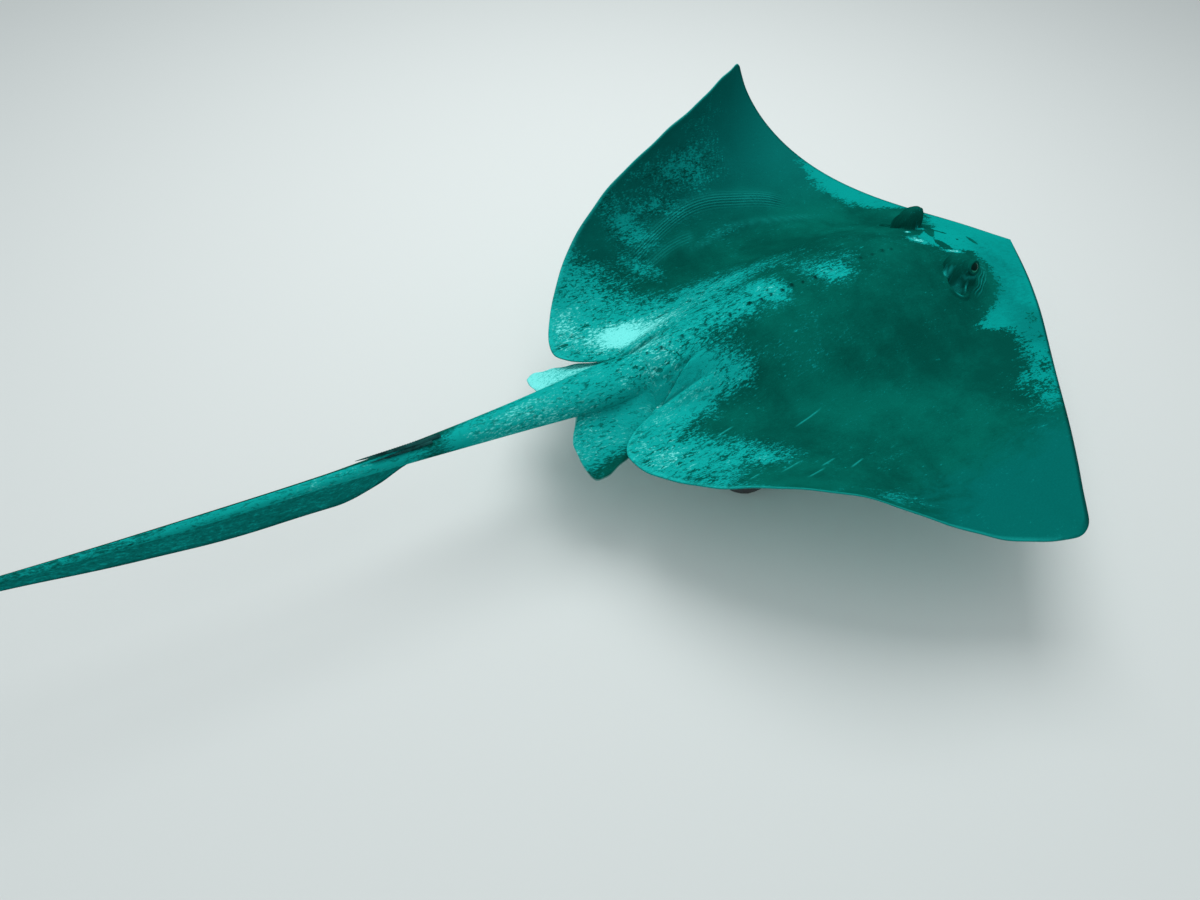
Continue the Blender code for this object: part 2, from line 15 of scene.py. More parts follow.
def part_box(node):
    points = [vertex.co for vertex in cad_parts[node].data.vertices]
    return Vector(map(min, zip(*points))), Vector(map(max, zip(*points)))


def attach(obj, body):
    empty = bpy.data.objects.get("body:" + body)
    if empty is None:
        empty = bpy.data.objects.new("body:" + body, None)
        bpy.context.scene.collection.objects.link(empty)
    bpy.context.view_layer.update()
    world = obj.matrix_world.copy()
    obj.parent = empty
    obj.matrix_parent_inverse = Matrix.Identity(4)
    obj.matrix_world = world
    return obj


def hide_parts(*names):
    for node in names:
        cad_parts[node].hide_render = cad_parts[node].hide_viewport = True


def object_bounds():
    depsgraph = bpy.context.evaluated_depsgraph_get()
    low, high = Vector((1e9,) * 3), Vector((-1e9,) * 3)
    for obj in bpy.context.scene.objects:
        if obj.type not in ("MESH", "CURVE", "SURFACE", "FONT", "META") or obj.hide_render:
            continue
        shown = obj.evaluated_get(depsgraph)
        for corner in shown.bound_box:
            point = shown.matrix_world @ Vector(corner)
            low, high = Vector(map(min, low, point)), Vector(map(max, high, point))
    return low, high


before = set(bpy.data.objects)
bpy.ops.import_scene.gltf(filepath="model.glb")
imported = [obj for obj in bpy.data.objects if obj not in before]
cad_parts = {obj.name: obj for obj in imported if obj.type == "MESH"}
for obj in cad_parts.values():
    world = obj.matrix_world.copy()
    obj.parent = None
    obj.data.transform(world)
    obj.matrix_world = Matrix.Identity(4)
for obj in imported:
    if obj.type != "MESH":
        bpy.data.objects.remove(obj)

bl_info = {
    "name": "Stingray Display Model",
    "version": (1, 0, 0),
    "blender": (4, 5, 0),
    "location": "3D View > Sidebar > Stingray",
    "description": "Skin, eyes, stings, stand and studio of a life-size stingray model",
    "category": "Add Mesh",
}

CAD_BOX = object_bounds()

# The flattened disc, in disc widths ----------------------------------------------------
# One side of its outline: (forward, sideways), snout, wing tip, inner rear corner
OUTLINE = ((0.430, 0.000), (0.371, 0.100), (0.252, 0.250), (0.110, 0.400),
           (0.043, 0.475), (0.012, 0.500), (-0.052, 0.475), (-0.184, 0.400),
           (-0.320, 0.280), (-0.400, 0.170), (-0.421, 0.115), (-0.400, 0.084),
           (-0.335, 0.056))
# Where the ray-like lines of the disc leave the midline: (part of the outline, forward)
SPINE = ((0.0, 0.430), (0.45, 0.020), (0.80, -0.165), (1.0, -0.205))

# Height of the back, depth of the belly and half width of the thick body, nose to tail
BODY_AT = (-0.400, -0.335, -0.240, -0.080, 0.080, 0.200, 0.280, 0.360, 0.430)
BACK_HEIGHT = (0.050, 0.056, 0.068, 0.086, 0.090, 0.071, 0.054, 0.026, 0.000)
BELLY_DEPTH = (-0.002, 0.004, 0.014, 0.022, 0.024, 0.020, 0.015, 0.009, 0.000)
BODY_HALF_WIDTH = (0.050, 0.070, 0.130, 0.205, 0.235, 0.205, 0.175, 0.130, 0.060)
FIN_HALF_THICKNESS = 0.009
EDGE_HALF_THICKNESS = 0.00104

# How each wing bends: slope along the span grows from `start` out to the tip
LEFT_WING = {"lift": 1.935, "twist": -4.02, "power": 1.16, "start": 0.1005,
             "wave": 0.0, "wave_at": 0.0, "wave_length": 0.6}
RIGHT_WING = {"lift": 0.399, "twist": -3.463, "power": 0.925, "start": 0.143,
              "wave": 0.408, "wave_at": -0.583, "wave_length": 0.638}

# Tail: distance behind TAIL_ROOT, half width, half height, depth of the skin fold below
TAIL_ROOT = -0.335
TAIL_LENGTH = 1.130
TAIL_AT = (0.000, 0.060, 0.120, 0.200, 0.320, 0.348, 0.400, 0.460, 0.610, 0.740, 0.840,
           0.910, 1.130)
TAIL_HALF_WIDTH = (0.040, 0.036, 0.030, 0.0225, 0.0145, 0.0131, 0.0107, 0.0085, 0.0072,
                   0.0056, 0.0044, 0.0034, 0.0012)
TAIL_HALF_HEIGHT = (0.026, 0.0255, 0.0235, 0.0195, 0.0135, 0.0121, 0.0100, 0.0080, 0.0068,
                    0.0054, 0.0044, 0.0034, 0.0012)
FOLD_DEPTH = (0.0, 0.0, 0.0, 0.0, 0.0, 0.003, 0.020, 0.032, 0.029, 0.018, 0.009, 0.001, 0.0)
FOLD_LEAN = 0.36                         # how far it hangs to the right for each unit down
FOLD_HALF_THICKNESS = (0.0019, 0.0009)   # at its root and along its lower rim
FOLD_WINDOW = 0.714                      # part of the section that it takes, in radians
TAIL_CENTRE_HEIGHT = 0.0232
TAIL_RISE = (0.0108, 0.0087)
TAIL_SWAY = 0.056
ROOT_BLEND = 0.075                       # length over which the disc turns into the tail
FIN_BLEND = 0.016                        # the same for the pelvic fins

# Pelvic fin: free edge from the front, round the outer corner, to the tail side
PELVIC_EDGE = ((-0.340, 0.064), (-0.400, 0.096), (-0.436, 0.107), (-0.458, 0.111),
               (-0.471, 0.102), (-0.476, 0.076), (-0.475, 0.056), (-0.468, 0.043))
PELVIC_ROOT = ((-0.325, 0.022), (-0.452, 0.016))
PELVIC_DROOP = 0.36
PELVIC_ROOT_HEIGHT = 0.008
PELVIC_HALF_THICKNESS = 0.0045
PELVIC_ATTACHED = (2.11, 2.46)           # angles round the tail where its two faces start

# Right side of the head; the left side mirrors it, a little ahead, with a taller brow
EYE_AT = (0.2205, 0.0755, 0.0670)
EYE_RADIUS = 0.0120
BROW_AT = (0.2105, 0.0690)
LEFT_BROW_AT = (0.2340, 0.0765)
BROW_RADII = (0.0300, 0.0200)
LEFT_BROW_SCALE = 1.10                   # of the left brow's outline
BROW_SQUARENESS = 2.6                    # 2 is an oval
BROW_TURN = 22                           # degrees that the brows point outwards
BROW_HEIGHT = 0.0300
SPIRACLE_AT = (0.1970, 0.0825)
SPIRACLE_RADII = (0.0180, 0.0200)
SPIRACLE_TURN = 42
SPIRACLE_SQUARENESS = 2.8
SPIRACLE_DEPTH = 0.0058
LEFT_AHEAD = 0.011
LEFT_RAISED = 0.011                      # of the brow's top; the eye stays level
GAZE = (0.12, 0.84, 0.50)                # the way the left eye looks
LID_THICKNESS = 0.0016
LID_OPENING = (0.76, 0.68)               # half length and half height of the eye's opening
IRIS_EDGE = (0.72, 0.64)                 # where it fades, in radii of the eyeball
PUPIL_EDGE = (0.62, 0.56)
PUPIL_SHIFT = (0.18, 0.24)               # to the side and up from the middle of the iris

# Stings: start behind the tail root, length, half width, lift of the tip, sideways
STINGS = {"sting": (0.305, 0.112, 0.0054, 0.0080, 0.0006),
          "second_sting": (0.318, 0.082, 0.0040, 0.0016, -0.0052)}
STING_HALF_THICKNESS = 0.0019
STING_TEETH = 32

# Mesh density
OUTLINE_ROWS = 300
ARMPIT_ROWS = 34
BACK_COLUMNS = 116
BELLY_COLUMNS = 74
FIN_COLUMNS = 43           # columns of each face of a pelvic fin
FIN_RINGS = 60
TAIL_THINNING = 3          # columns of the tail root that merge into one of the tail
TAIL_RINGS = 300
MAP_SCALE = 0.475          # size of a disc width on the UV map

# Camera: direction from the target, roll, distance in disc widths, lens on a 36 mm sensor
VIEW_AZIMUTH = radians(-30.7)
VIEW_ELEVATION = radians(50.86)
VIEW_ROLL = radians(2.43)
VIEW_DISTANCE = 1.0946
VIEW_TARGET = (-0.4486, -0.0836, 0.0)
VIEW_LENS = 24.0

# Soft lights: share of the key light's power, size, direction from the target, distance
LIGHTS = {"key_light": (1.0, 1.8, (0.32, 0.45, 1.0), 2.6),
          "top_light": (0.45, 3.0, (-0.2, -0.30, 1.0), 3.2)}
WORLD_COLOUR = (0.92, 0.97, 1.0)


# The frame ---------------------------------------------------------------------------

def scale_and_origin():
    """Metres in a disc width and the place of the disc's centre, from the eyes' solids."""
    left_low, left_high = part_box("left_eye")
    right_low, right_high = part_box("right_eye")
    width = (left_high.z - left_low.z) / (2 * EYE_RADIUS)
    middle = np.array((EYE_AT[0] + LEFT_AHEAD / 2, 0.0, EYE_AT[2]))
    return width, np.array((left_low + left_high + right_low + right_high) / 4) - width * middle


DISC_WIDTH, ORIGIN = scale_and_origin()


def in_metres(points):
    """Turns places in disc widths into the frame's metres."""
    return np.asarray(points, float) * DISC_WIDTH + ORIGIN


def eye_place(side):
    """Centre of an eye, and the directions in which it looks, lies level and points up."""
    ahead = LEFT_AHEAD if side > 0 else 0.0
    centre = np.array((EYE_AT[0] + ahead, side * EYE_AT[1], EYE_AT[2]))
    gaze = np.array(GAZE) * (1, side, 1) / np.linalg.norm(GAZE)
    level = np.cross((0, 0, 1), gaze)
    level /= np.linalg.norm(level)
    return centre, gaze, level, np.cross(gaze, level)


def on_head(x, y):
    """Mirrors a place on the head to its left side, and takes out the left side's lead."""
    return x - LEFT_AHEAD * step(0.0, 0.05, y), np.abs(y)


def length_property(name, description, default, high):
    return FloatProperty(name=name, description=description, default=default, min=0.0, max=high,
                         unit="LENGTH")


def colour_property(name, description, default):
    return FloatVectorProperty(name=name, description=description, subtype="COLOR",
                               default=default, min=0.0, max=1.0)


class StingrayLooks(bpy.types.PropertyGroup):
    """Sizes of the surface details and colours of the skin."""

    wrinkle_depth: length_property(
        "Wrinkle Depth", "Depth of the fine folds where the wing lifts", 0.0014, 0.004)
    thorn_height: length_property(
        "Thorn Height", "Height of the thorns along the midline", 0.0042, 0.01)
    thorn_count: IntProperty(
        name="Thorns", description="Number of thorns along the midline", default=24, min=0, max=60)
    margin_ripple: length_property(
        "Margin Ripple", "Height of the small waves along the fin margin", 0.0008, 0.01)
    grain_depth: length_property("Grain", "Depth of the fine skin grain", 0.0005, 0.003)
    back_dark: colour_property(
        "Dark Back", "Darkest green of the back", (0.0008, 0.068, 0.051))
    back_middle: colour_property(
        "Back", "Middle green-teal of the back", (0.0012, 0.122, 0.092))
    wing_teal: colour_property(
        "Wing Teal", "Smooth blue-teal of the outer wings", (0.0012, 0.130, 0.114))
    band_teal: colour_property(
        "Front Band", "Light teal over the snout and front margins", (0.0018, 0.300, 0.270))
    band_shade: colour_property(
        "Front Band Shade", "Darker clouds of the front band", (0.0016, 0.190, 0.172))
    half_worn_and_painted_light: colour_property(
        "Half Worn", "Half light skin round the worn places", (0.0026, 0.165, 0.148))
    rear_aqua: colour_property(
        "Rear Aqua", "Light aqua of the rear, tail root and pelvic fins", (0.0040, 0.345, 0.315))
    bright_aqua: colour_property(
        "Bright Aqua", "Worn, almost white skin near the tail", (0.170, 0.760, 0.720))
    # also the colour of the painted highlights on the head and along the rear rim
    crest_and_highlight_colour: colour_property(
        "Crest Aqua", "Crests of wrinkles, scars and lips", (0.012, 0.470, 0.430))
    # also the colour of the painted shade in the spiracles, under the eyes and in the root valleys
    hollow_dark: colour_property(
        "Hollows", "Thorns, pits, creases and the dark rims", (0.0016, 0.022, 0.019))
    belly: colour_property("Belly", "Pale underside", (0.420, 0.820, 0.780))


class StingrayStudio(bpy.types.PropertyGroup):
    """The floor and the lights."""

    floor_colour: colour_property("Floor", "Colour of the plain floor", (0.62, 0.66, 0.65))
    floor_width: length_property("Floor Width", "Width of the floor", 40.0, 100.0)
    key_power: FloatProperty(
        name="Key Light", description="Power of the main soft light", default=52.0, min=0.0,
        unit="POWER")
    fill_strength: FloatProperty(
        name="Fill", description="Strength of the even light all round", default=0.50, min=0.0)


# Curves and tables ------------------------------------------------------------------------

def smooth_curve(points, places):
    """Natural cubic spline through the points, read at places from 0 to 1."""
    points = np.asarray(points, float)
    last = len(points) - 1
    chords = np.linalg.norm(np.diff(points, axis=0), axis=1) ** 0.5
    knots = np.concatenate(([0.0], np.cumsum(chords)))
    matrix = np.eye(last + 1)
    target = np.zeros_like(points)
    for i in range(1, last):
        before, after = chords[i - 1], chords[i]
        matrix[i, i - 1:i + 2] = (before, 2 * (before + after), after)
        target[i] = 6 * ((points[i + 1] - points[i]) / after - (points[i] - points[i - 1]) / before)
    bend = np.linalg.solve(matrix, target)
    at = np.asarray(places, float) * knots[-1]
    k = np.clip(np.searchsorted(knots, at, side="right") - 1, 0, last - 1)
    width = chords[k][:, None]
    to_next = (knots[k + 1] - at)[:, None]
    from_last = (at - knots[k])[:, None]
    curve = (bend[k] * to_next ** 3 + bend[k + 1] * from_last ** 3) / (6 * width)
    curve += (points[k] / width - bend[k] * width / 6) * to_next
    return curve + (points[k + 1] / width - bend[k + 1] * width / 6) * from_last


def eased(at, places, values):
    """Smooth interpolation of a table, without overshoot (monotone cubic)."""
    places = np.asarray(places, float)
    values = np.asarray(values, float)
    steps = np.diff(places)
    slopes = np.diff(values) / steps
    tangents = np.zeros_like(values)
    tangents[0], tangents[-1] = slopes[0], slopes[-1]
    same_way = slopes[:-1] * slopes[1:] > 0
    mean = 2 * slopes[:-1] * slopes[1:] / np.where(same_way, slopes[:-1] + slopes[1:], 1.0)
    tangents[1:-1] = np.where(same_way, mean, 0.0)
    at = np.clip(at, places[0], places[-1])
    k = np.clip(np.searchsorted(places, at, side="right") - 1, 0, len(steps) - 1)
    t = (at - places[k]) / steps[k]
    return (values[k] * (1 + 2 * t) * (1 - t) ** 2 + values[k + 1] * t ** 2 * (3 - 2 * t)
            + steps[k] * t * (1 - t) * (tangents[k] * (1 - t) - tangents[k + 1] * t))


def bell(distance):
    """1 at 0, falling smoothly to 0 at 1 and beyond."""
    return 0.5 + 0.5 * np.cos(pi * np.clip(np.abs(distance), 0.0, 1.0))


def step(low, high, value):
    """0 below `low`, 1 above `high`, smooth between; `low` may be the larger one."""
    t = np.clip((value - low) / (high - low), 0.0, 1.0)
    return t * t * (3 - 2 * t)


def turned_to(x, y, centre, radii, turn):
    """Coordinates along and across an oval, in its radii; `turn` is in degrees."""
    along, across = x - centre[0], y - centre[1]
    c, s = cos(radians(turn)), sin(radians(turn))
    return (along * c + across * s) / radii[0], (across * c - along * s) / radii[1]


def spot(x, y, centre, radii, turn=0.0, power=2.0):
    """Distance from the centre of an oval, 1 on its edge; a higher power squares it."""
    along, across = turned_to(x, y, centre, radii, turn)
    return (np.abs(along) ** power + np.abs(across) ** power) ** (1 / power)


def beside(x, y, points, count=48):
    """Signed distance from a curve through the points, and the part of its length passed."""
    path = smooth_curve(points, np.linspace(0.0, 1.0, count))
    best = np.full(np.shape(x), 9.0)
    signed = best.copy()
    passed = np.zeros(np.shape(x))
    for i, (start, end) in enumerate(zip(path, path[1:])):
        run = end - start
        length = np.hypot(*run)
        part = np.clip(((x - start[0]) * run[0] + (y - start[1]) * run[1]) / length ** 2, 0, 1)
        dx, dy = x - start[0] - part * run[0], y - start[1] - part * run[1]
        distance = np.hypot(dx, dy)
        nearer = distance < best
        best = np.where(nearer, distance, best)
        signed = np.where(nearer, distance * np.sign(run[0] * dy - run[1] * dx), signed)
        passed = np.where(nearer, (i + part) / (count - 1), passed)
    return signed, passed


def ends(passed, soft=0.12):
    """Fades a line in and out towards its two ends."""
    return step(0.0, soft, passed) * step(1.0, 1.0 - soft, passed)


# Body surface -----------------------------------------------------------------------------

def wing_slope(x, span, wing):
    """Slope of the middle surface of a wing, in radians."""
    reach = np.clip((span - wing["start"]) / (0.5 - wing["start"]), 0.0, None) ** wing["power"]
    ripple = np.sin(2 * pi * (x - wing["wave_at"]) / wing["wave_length"])
    ripple = wing["wave"] * ripple * np.clip(span / 0.4, 0, 1) ** 2
    return (wing["lift"] + wing["twist"] * x) * reach + ripple


def bent_wing(x, span, wing, steps=48):
    """Sideways distance, height and slope of the middle surface at `span` along the wing."""
    sideways = np.zeros_like(span)
    height = np.zeros_like(span)
    before = wing_slope(x, span * 0.0, wing)
    for i in range(1, steps):
        after = wing_slope(x, span * (i / (steps - 1)), wing)
        middle = (before + after) / 2
        sideways += np.cos(middle) * span / (steps - 1)
        height += np.sin(middle) * span / (steps - 1)
        before = after
    return sideways, height, before


def fin_thickness(part, reach):
    """Half thickness of the wing: thin at the margin and towards the tip of the snout."""
    return FIN_HALF_THICKNESS * (1 - part) ** 0.8 * np.clip(reach / 0.12, 0.0, 1.0) ** 0.5


def bulk(x, span, part, reach, table, fin_share):
    """Height of one face of the body over the middle surface of the fins."""
    fin = fin_thickness(part, reach) * fin_share
    body = eased(x, BODY_AT, table) - fin_thickness(0.0, reach) * fin_share
    body = body * bell(span / eased(x, BODY_AT, BODY_HALF_WIDTH)) * (1 - part ** 4)
    return EDGE_HALF_THICKNESS + fin + body


# Lines on the flattened disc: (forward, towards the left)
WING_FOLD = ((0.105, 0.243), (0.060, 0.262), (0.000, 0.275), (-0.050, 0.283),
             (-0.100, 0.281), (-0.150, 0.266), (-0.200, 0.243), (-0.240, 0.222))
INNER_FOLD = ((0.150, 0.196), (0.100, 0.206), (0.020, 0.222), (-0.030, 0.224),
              (-0.080, 0.214), (-0.140, 0.208))
REAR_FOLD = ((-0.100, 0.232), (-0.140, 0.228), (-0.180, 0.216), (-0.215, 0.200))
WRINKLE_SPACING = 0.0046
TIP_CREASE = ((0.010, 0.490), (0.006, 0.430), (0.004, 0.370), (0.030, 0.310))
# Ridges and grooves along them: each has its shift to the line's left, its half width, its
# height, less than 0 in a groove, and the share of the line over which its ends fade
BACK_FOLDS = ((WING_FOLD, ((0.0, 0.022, 0.0035, 0.12),)), (INNER_FOLD, ((0.0, 0.012, 0.0020, 0.3),)),
              (TIP_CREASE, ((0.0, 0.030, -0.0045, 0.35),)))
# Fine wrinkles along them: shift, half width, strength, fade of the ends
BACK_WRINKLES = ((WING_FOLD, 0.003, 0.021, 1.0, 0.08), (REAR_FOLD, 0.0, 0.016, 0.6, 0.2))
# In front of and outside the eye, then both sides of the tail root
CHEEK = ((0.284, 0.048), (0.273, 0.067), (0.253, 0.087), (0.232, 0.100), (0.216, 0.109))
ROOT_VALLEY = ((-0.228, 0.064), (-0.256, 0.058), (-0.296, 0.055), (-0.338, 0.056))
ROOT_CREASE = ((-0.250, 0.028), (-0.290, 0.032), (-0.325, 0.034), (-0.340, 0.035))
ROOT_FOLDS = ((ROOT_CREASE, ((0.005, 0.005, 0.0016, 0.3), (0.0, 0.005, -0.0022, 0.3))),)
VALLEY_DEPTH = 0.0085
THORNS_FROM_TO = (0.112, -0.325)
THORN_RADIUS = 0.0042
# Healed scratches: start and end
SCARS = (((-0.128, -0.166), (-0.192, -0.179)), ((-0.142, -0.270), (-0.178, -0.281)),
         ((-0.178, -0.254), (-0.212, -0.262)), ((-0.206, -0.266), (-0.250, -0.279)),
         ((-0.222, -0.238), (-0.272, -0.251)), ((-0.262, -0.136), (-0.300, -0.142)),
         ((-0.292, -0.238), (-0.318, -0.246)))


def folds(x, y, table, count=48):
    """Height of ridges and grooves that run along curves."""
    total = np.zeros_like(x)
    for path, ridges in table:
        off, passed = beside(x, y, path, count)
        for shift, width, height, fade in ridges:
            total += height * bell((off - shift) / width) * ends(passed, fade)
    return total


def wrinkle_waves(off, passed):
    """Fine wrinkles beside a line: 1 on a crest, -1 in a furrow."""
    return np.cos(2 * pi * off / WRINKLE_SPACING + 3 * passed)


def thorn_places(count):
    """Midline thorns from the nape to the tail root: (forward, sideways, relative size)."""
    rng = np.random.default_rng(7)
    along = np.linspace(*THORNS_FROM_TO, count) + rng.uniform(-0.003, 0.003, count)
    return zip(along, rng.uniform(-0.0022, 0.0022, count), rng.uniform(0.60, 1.25, count))


def brow_near(x, y):
    """Distance from the middle of the brow on that side, 1 along its foot."""
    left = spot(x, y, LEFT_BROW_AT, BROW_RADII, BROW_TURN, BROW_SQUARENESS) / LEFT_BROW_SCALE
    return np.where(y > 0, left, spot(x, -y, BROW_AT, BROW_RADII, BROW_TURN, BROW_SQUARENESS))


def by_spiracle(head_x, span):
    """Distance from a spiracle's middle, 1 on its rim, and the places along and across it."""
    oval = (SPIRACLE_AT, SPIRACLE_RADII, SPIRACLE_TURN)
    return spot(head_x, span, *oval, SPIRACLE_SQUARENESS), *turned_to(head_x, span, *oval)


def cheek_wrinkles(x, y, head_x, span, near):
    """Wavy wrinkles in front of and outside the eye: -1 in a furrow, 1 on a crest, and share."""
    off, passed = beside(head_x, span, CHEEK)
    off = off + 0.0011 * np.sin(190 * x + 60 * y) + 0.0007 * np.sin(330 * y)
    lines = np.cos(2 * pi * off / WRINKLE_SPACING)
    return lines, bell(off / 0.0105) * ends(passed, 0.25) * step(1.02, 1.30, near)


def back_relief(x, y, part, looks):
    """Height of the folds, thorns, brows and pits of the upper side, in disc widths."""
    wrinkle = looks.wrinkle_depth / DISC_WIDTH
    span = np.abs(y)
    # folds where the left wing rises from the back, and the crease near its tip
    height = folds(x, y, BACK_FOLDS)
    for path, shift, width, strength, fade in BACK_WRINKLES:
        off, passed = beside(x, y, path)
        share = bell((off - shift) / width) * ends(passed, fade)
        height += strength * wrinkle * wrinkle_waves(off, passed) * share
    # soft unevenness of flesh over the body
    flesh = np.sin(31 * x + 9 * y) * np.sin(27 * y - 11 * x) + 0.6 * np.sin(57 * x - 40 * y + 2)
    height += 0.0006 * flesh * bell(span / 0.30)
    # valleys that part the tail root from the inner lobes of the wings: steep on the outside
    for side in (1, -1):
        off, passed = beside(x, y * side, ROOT_VALLEY)
        deep = step(0.0, 0.7, passed)
        height -= VALLEY_DEPTH * deep * step(-0.0035, 0.0015, off) * step(0.024, 0.002, off)
        height += 0.0030 * deep * bell((off + 0.010) / 0.009)
        height += folds(x, y * side, ROOT_FOLDS)
    # head: hollow between the eyes, brows and spiracles
    height -= 0.0035 * bell((x - 0.225) / 0.06) * bell(y / 0.045)
    head_x = on_head(x, y)[0]
    near = brow_near(x, y)
    dome = np.clip(1 - near ** 3.0, 0.0, None) ** 0.55
    height += (BROW_HEIGHT + LEFT_RAISED * (y > 0)) * dome + 0.0030 * bell(near / 1.5) * (1 - dome)
    height += 0.0005 * np.sin(95 * x + 60 * y) * np.sin(70 * x - 120 * y) * dome
    lines, share = cheek_wrinkles(x, y, head_x, span, near)
    height += wrinkle * lines * share
    # spiracle: a steep inner wall, a low outer lip and a fleshy flap inside
    pit, along, across = by_spiracle(head_x, span)
    hollow = step(1.04, 0.74, pit) * (1 - dome)
    height -= SPIRACLE_DEPTH * hollow * (0.85 - 0.35 * np.clip(along, -1, 1))
    height += 0.0020 * bell((pit - 1.16) / 0.26) * (0.6 + step(0.0, 0.8, across)) * (1 - dome)
    flap = np.hypot((along - 0.05) / 0.46, (across + 0.10) / 0.62)
    height += 0.0050 * step(1.0, 0.40, flap) * hollow
    ridge = np.hypot((along - 0.80) / 0.16, (across - 0.05) / 0.55)
    height += 0.0045 * step(1.0, 0.3, ridge) * (1 - dome)
    height += 0.0010 * np.cos(9 * along + 5 * across) * hollow
    # thorns lean backwards
    for at, sideways, size in thorn_places(looks.thorn_count):
        radius = THORN_RADIUS * size
        foot = np.hypot(x - at - 0.0012, (y - sideways) * 1.35) / radius
        point = np.hypot(x - at + 0.0010, (y - sideways) * 1.35) / radius
        thorn = 0.45 * bell(foot / 1.5) + 0.55 * np.clip(1 - point, 0.0, None)
        height += looks.thorn_height / DISC_WIDTH * size * thorn
    for start, end in SCARS:
        off, passed = beside(x, y, (start, end), 6)
        height += 0.0006 * bell(off / 0.0016) * ends(passed, 0.3)
    return height * step(1.0, 0.97, part)


# Mouth parts on the flattened underside, with ridges and grooves listed as on the back
MOUTH = ((0.214, -0.050), (0.224, -0.028), (0.228, 0.0), (0.224, 0.028), (0.214, 0.050))
CURTAIN_EDGE = ((0.229, -0.036), (0.238, -0.018), (0.239, 0.0), (0.238, 0.018), (0.229, 0.036))
NOSTRIL = ((0.268, 0.052), (0.258, 0.045), (0.246, 0.043), (0.232, 0.047))
MOUTH_FOLDS = ((MOUTH, ((0.0, 0.0036, -0.0065, 0.1), (0.0075, 0.006, 0.0026, 0.25),
                        (-0.0075, 0.006, 0.0022, 0.25))),)
GILL_RIDGES = ((0.0, 0.0024, -0.0038, 0.2), (0.0042, 0.0040, 0.0016, 0.3))
GILL_COUNT = 5
VENT = ((-0.300, 0.0), (0.020, 0.0055))  # place and radii


def belly_relief(x, y, part, looks):
    """Depth of the mouth, nostrils, gill slits and vent, outwards from the underside."""
    wrinkle = looks.wrinkle_depth / DISC_WIDTH
    out = folds(x, y, MOUTH_FOLDS)
    span = np.abs(y)
    off, passed = beside(x, y, CURTAIN_EDGE)
    out += 0.0034 * step(0.0012, -0.0012, off) * step(-0.034, -0.004, off) * ends(passed, 0.12)
    out += 0.5 * wrinkle * np.cos(2 * pi * y / 0.0036) * bell((off + 0.004) / 0.007) * ends(passed)
    off, passed = beside(x, span, NOSTRIL)
    out -= 0.0055 * bell(off / 0.0046) * ends(passed, 0.2)
    out += 0.0018 * bell((np.abs(off) - 0.0062) / 0.0035) * ends(passed, 0.3)
    for i in range(GILL_COUNT):
        middle = (0.148 - 0.030 * i, 0.096 - 0.0035 * i - 0.0012 * i * i)
        half = 0.0125 - 0.0012 * i
        slit = ((middle[0] + 0.004, middle[1] - half), (middle[0] + 0.0012, middle[1]),
                (middle[0] - 0.005, middle[1] + half))
        out += folds(x, span, ((slit, GILL_RIDGES),), 12)
    vent = spot(x, y, *VENT)
    out += 0.0022 * bell((vent - 1.15) / 0.6) - 0.0050 * step(1.0, 0.3, vent)
    # shallow trough between the gills and the wings' muscles
    out -= 0.0022 * bell((span - 0.150) / 0.035) * bell((x - 0.02) / 0.24)
    return out * step(1.0, 0.97, part)


def disc_surface(x, y, part, reach, sheet, ray, looks):
    """Points of the disc's skin; `sheet` is 1 on the back, -1 on the belly, 0 on the rim."""
    points = np.zeros(x.shape + (3,))
    span = np.abs(y)
    back = bulk(x, span, part, reach, BACK_HEIGHT, 1.0) + back_relief(x, y, part, looks)
    belly = bulk(x, span, part, reach, BELLY_DEPTH, 0.5) + belly_relief(x, y, part, looks)
    lift = back * (1 + sheet) / 2 - belly * (1 - sheet) / 2
    for side, wing in ((1, LEFT_WING), (-1, RIGHT_WING)):
        here = y >= 0 if side > 0 else y < 0
        sideways, height, slope = bent_wing(x[here], span[here], wing)
        waves = np.sin(2 * pi * ray[here] * 13 + side) + 0.7 * np.sin(2 * pi * ray[here] * 23 + 2)
        ripple = looks.margin_ripple / DISC_WIDTH * waves * part[here] ** 6
        ripple = ripple * step(0.30, 0.50, ray[here]) * step(1.0, 0.88, ray[here])
        out = lift[here] + ripple
        points[here, 0] = x[here]
        points[here, 1] = side * (sideways - np.sin(slope) * out)
        points[here, 2] = height + np.cos(slope) * out
    return points


def wrap_eyelids(points):
    """Draws the skin over each eyeball as lids, and opens it where the eye looks out."""
    for side in (1, -1):
        centre, gaze, level, upward = eye_place(side)
        offset = points - centre
        distance = np.linalg.norm(offset, axis=1)
        near = distance < EYE_RADIUS * 2.4
        way = offset[near] / np.maximum(distance[near], 1e-6)[:, None]
        facing, across, up = way @ gaze, way @ level, way @ upward
        opening = np.hypot(across / LID_OPENING[0], up / LID_OPENING[1])
        opening = np.where(facing > 0, opening, 9.0)
        lid = EYE_RADIUS + LID_THICKNESS * (1 + 0.55 * bell((opening - 1.10) / 0.22))
        lid = lid - 0.0012 * bell((opening - 1.50) / 0.20) + 0.0009 * bell((opening - 1.80) / 0.25)
        outside = np.maximum(distance[near], lid)
        outside = np.where((opening < 1.5) & (facing > 0.1),
                           outside + (lid - outside) * step(1.5, 1.06, opening), outside)
        inside = EYE_RADIUS * 0.86
        wanted = inside + (outside - inside) * step(0.90, 1.06, opening)
        points[near] = centre + way * wanted[:, None]
    return points


# The skin's mesh ----------------------------------------------------------------------------

def ring_quarters(back, belly):
    """Turns values for the columns of back and belly into one closed ring of columns."""
    rim = (back[:, -1:] + belly[:, -1:]) / 2
    return np.concatenate((back, rim, belly[:, :0:-1], belly, rim, back[:, :0:-1]), axis=1)


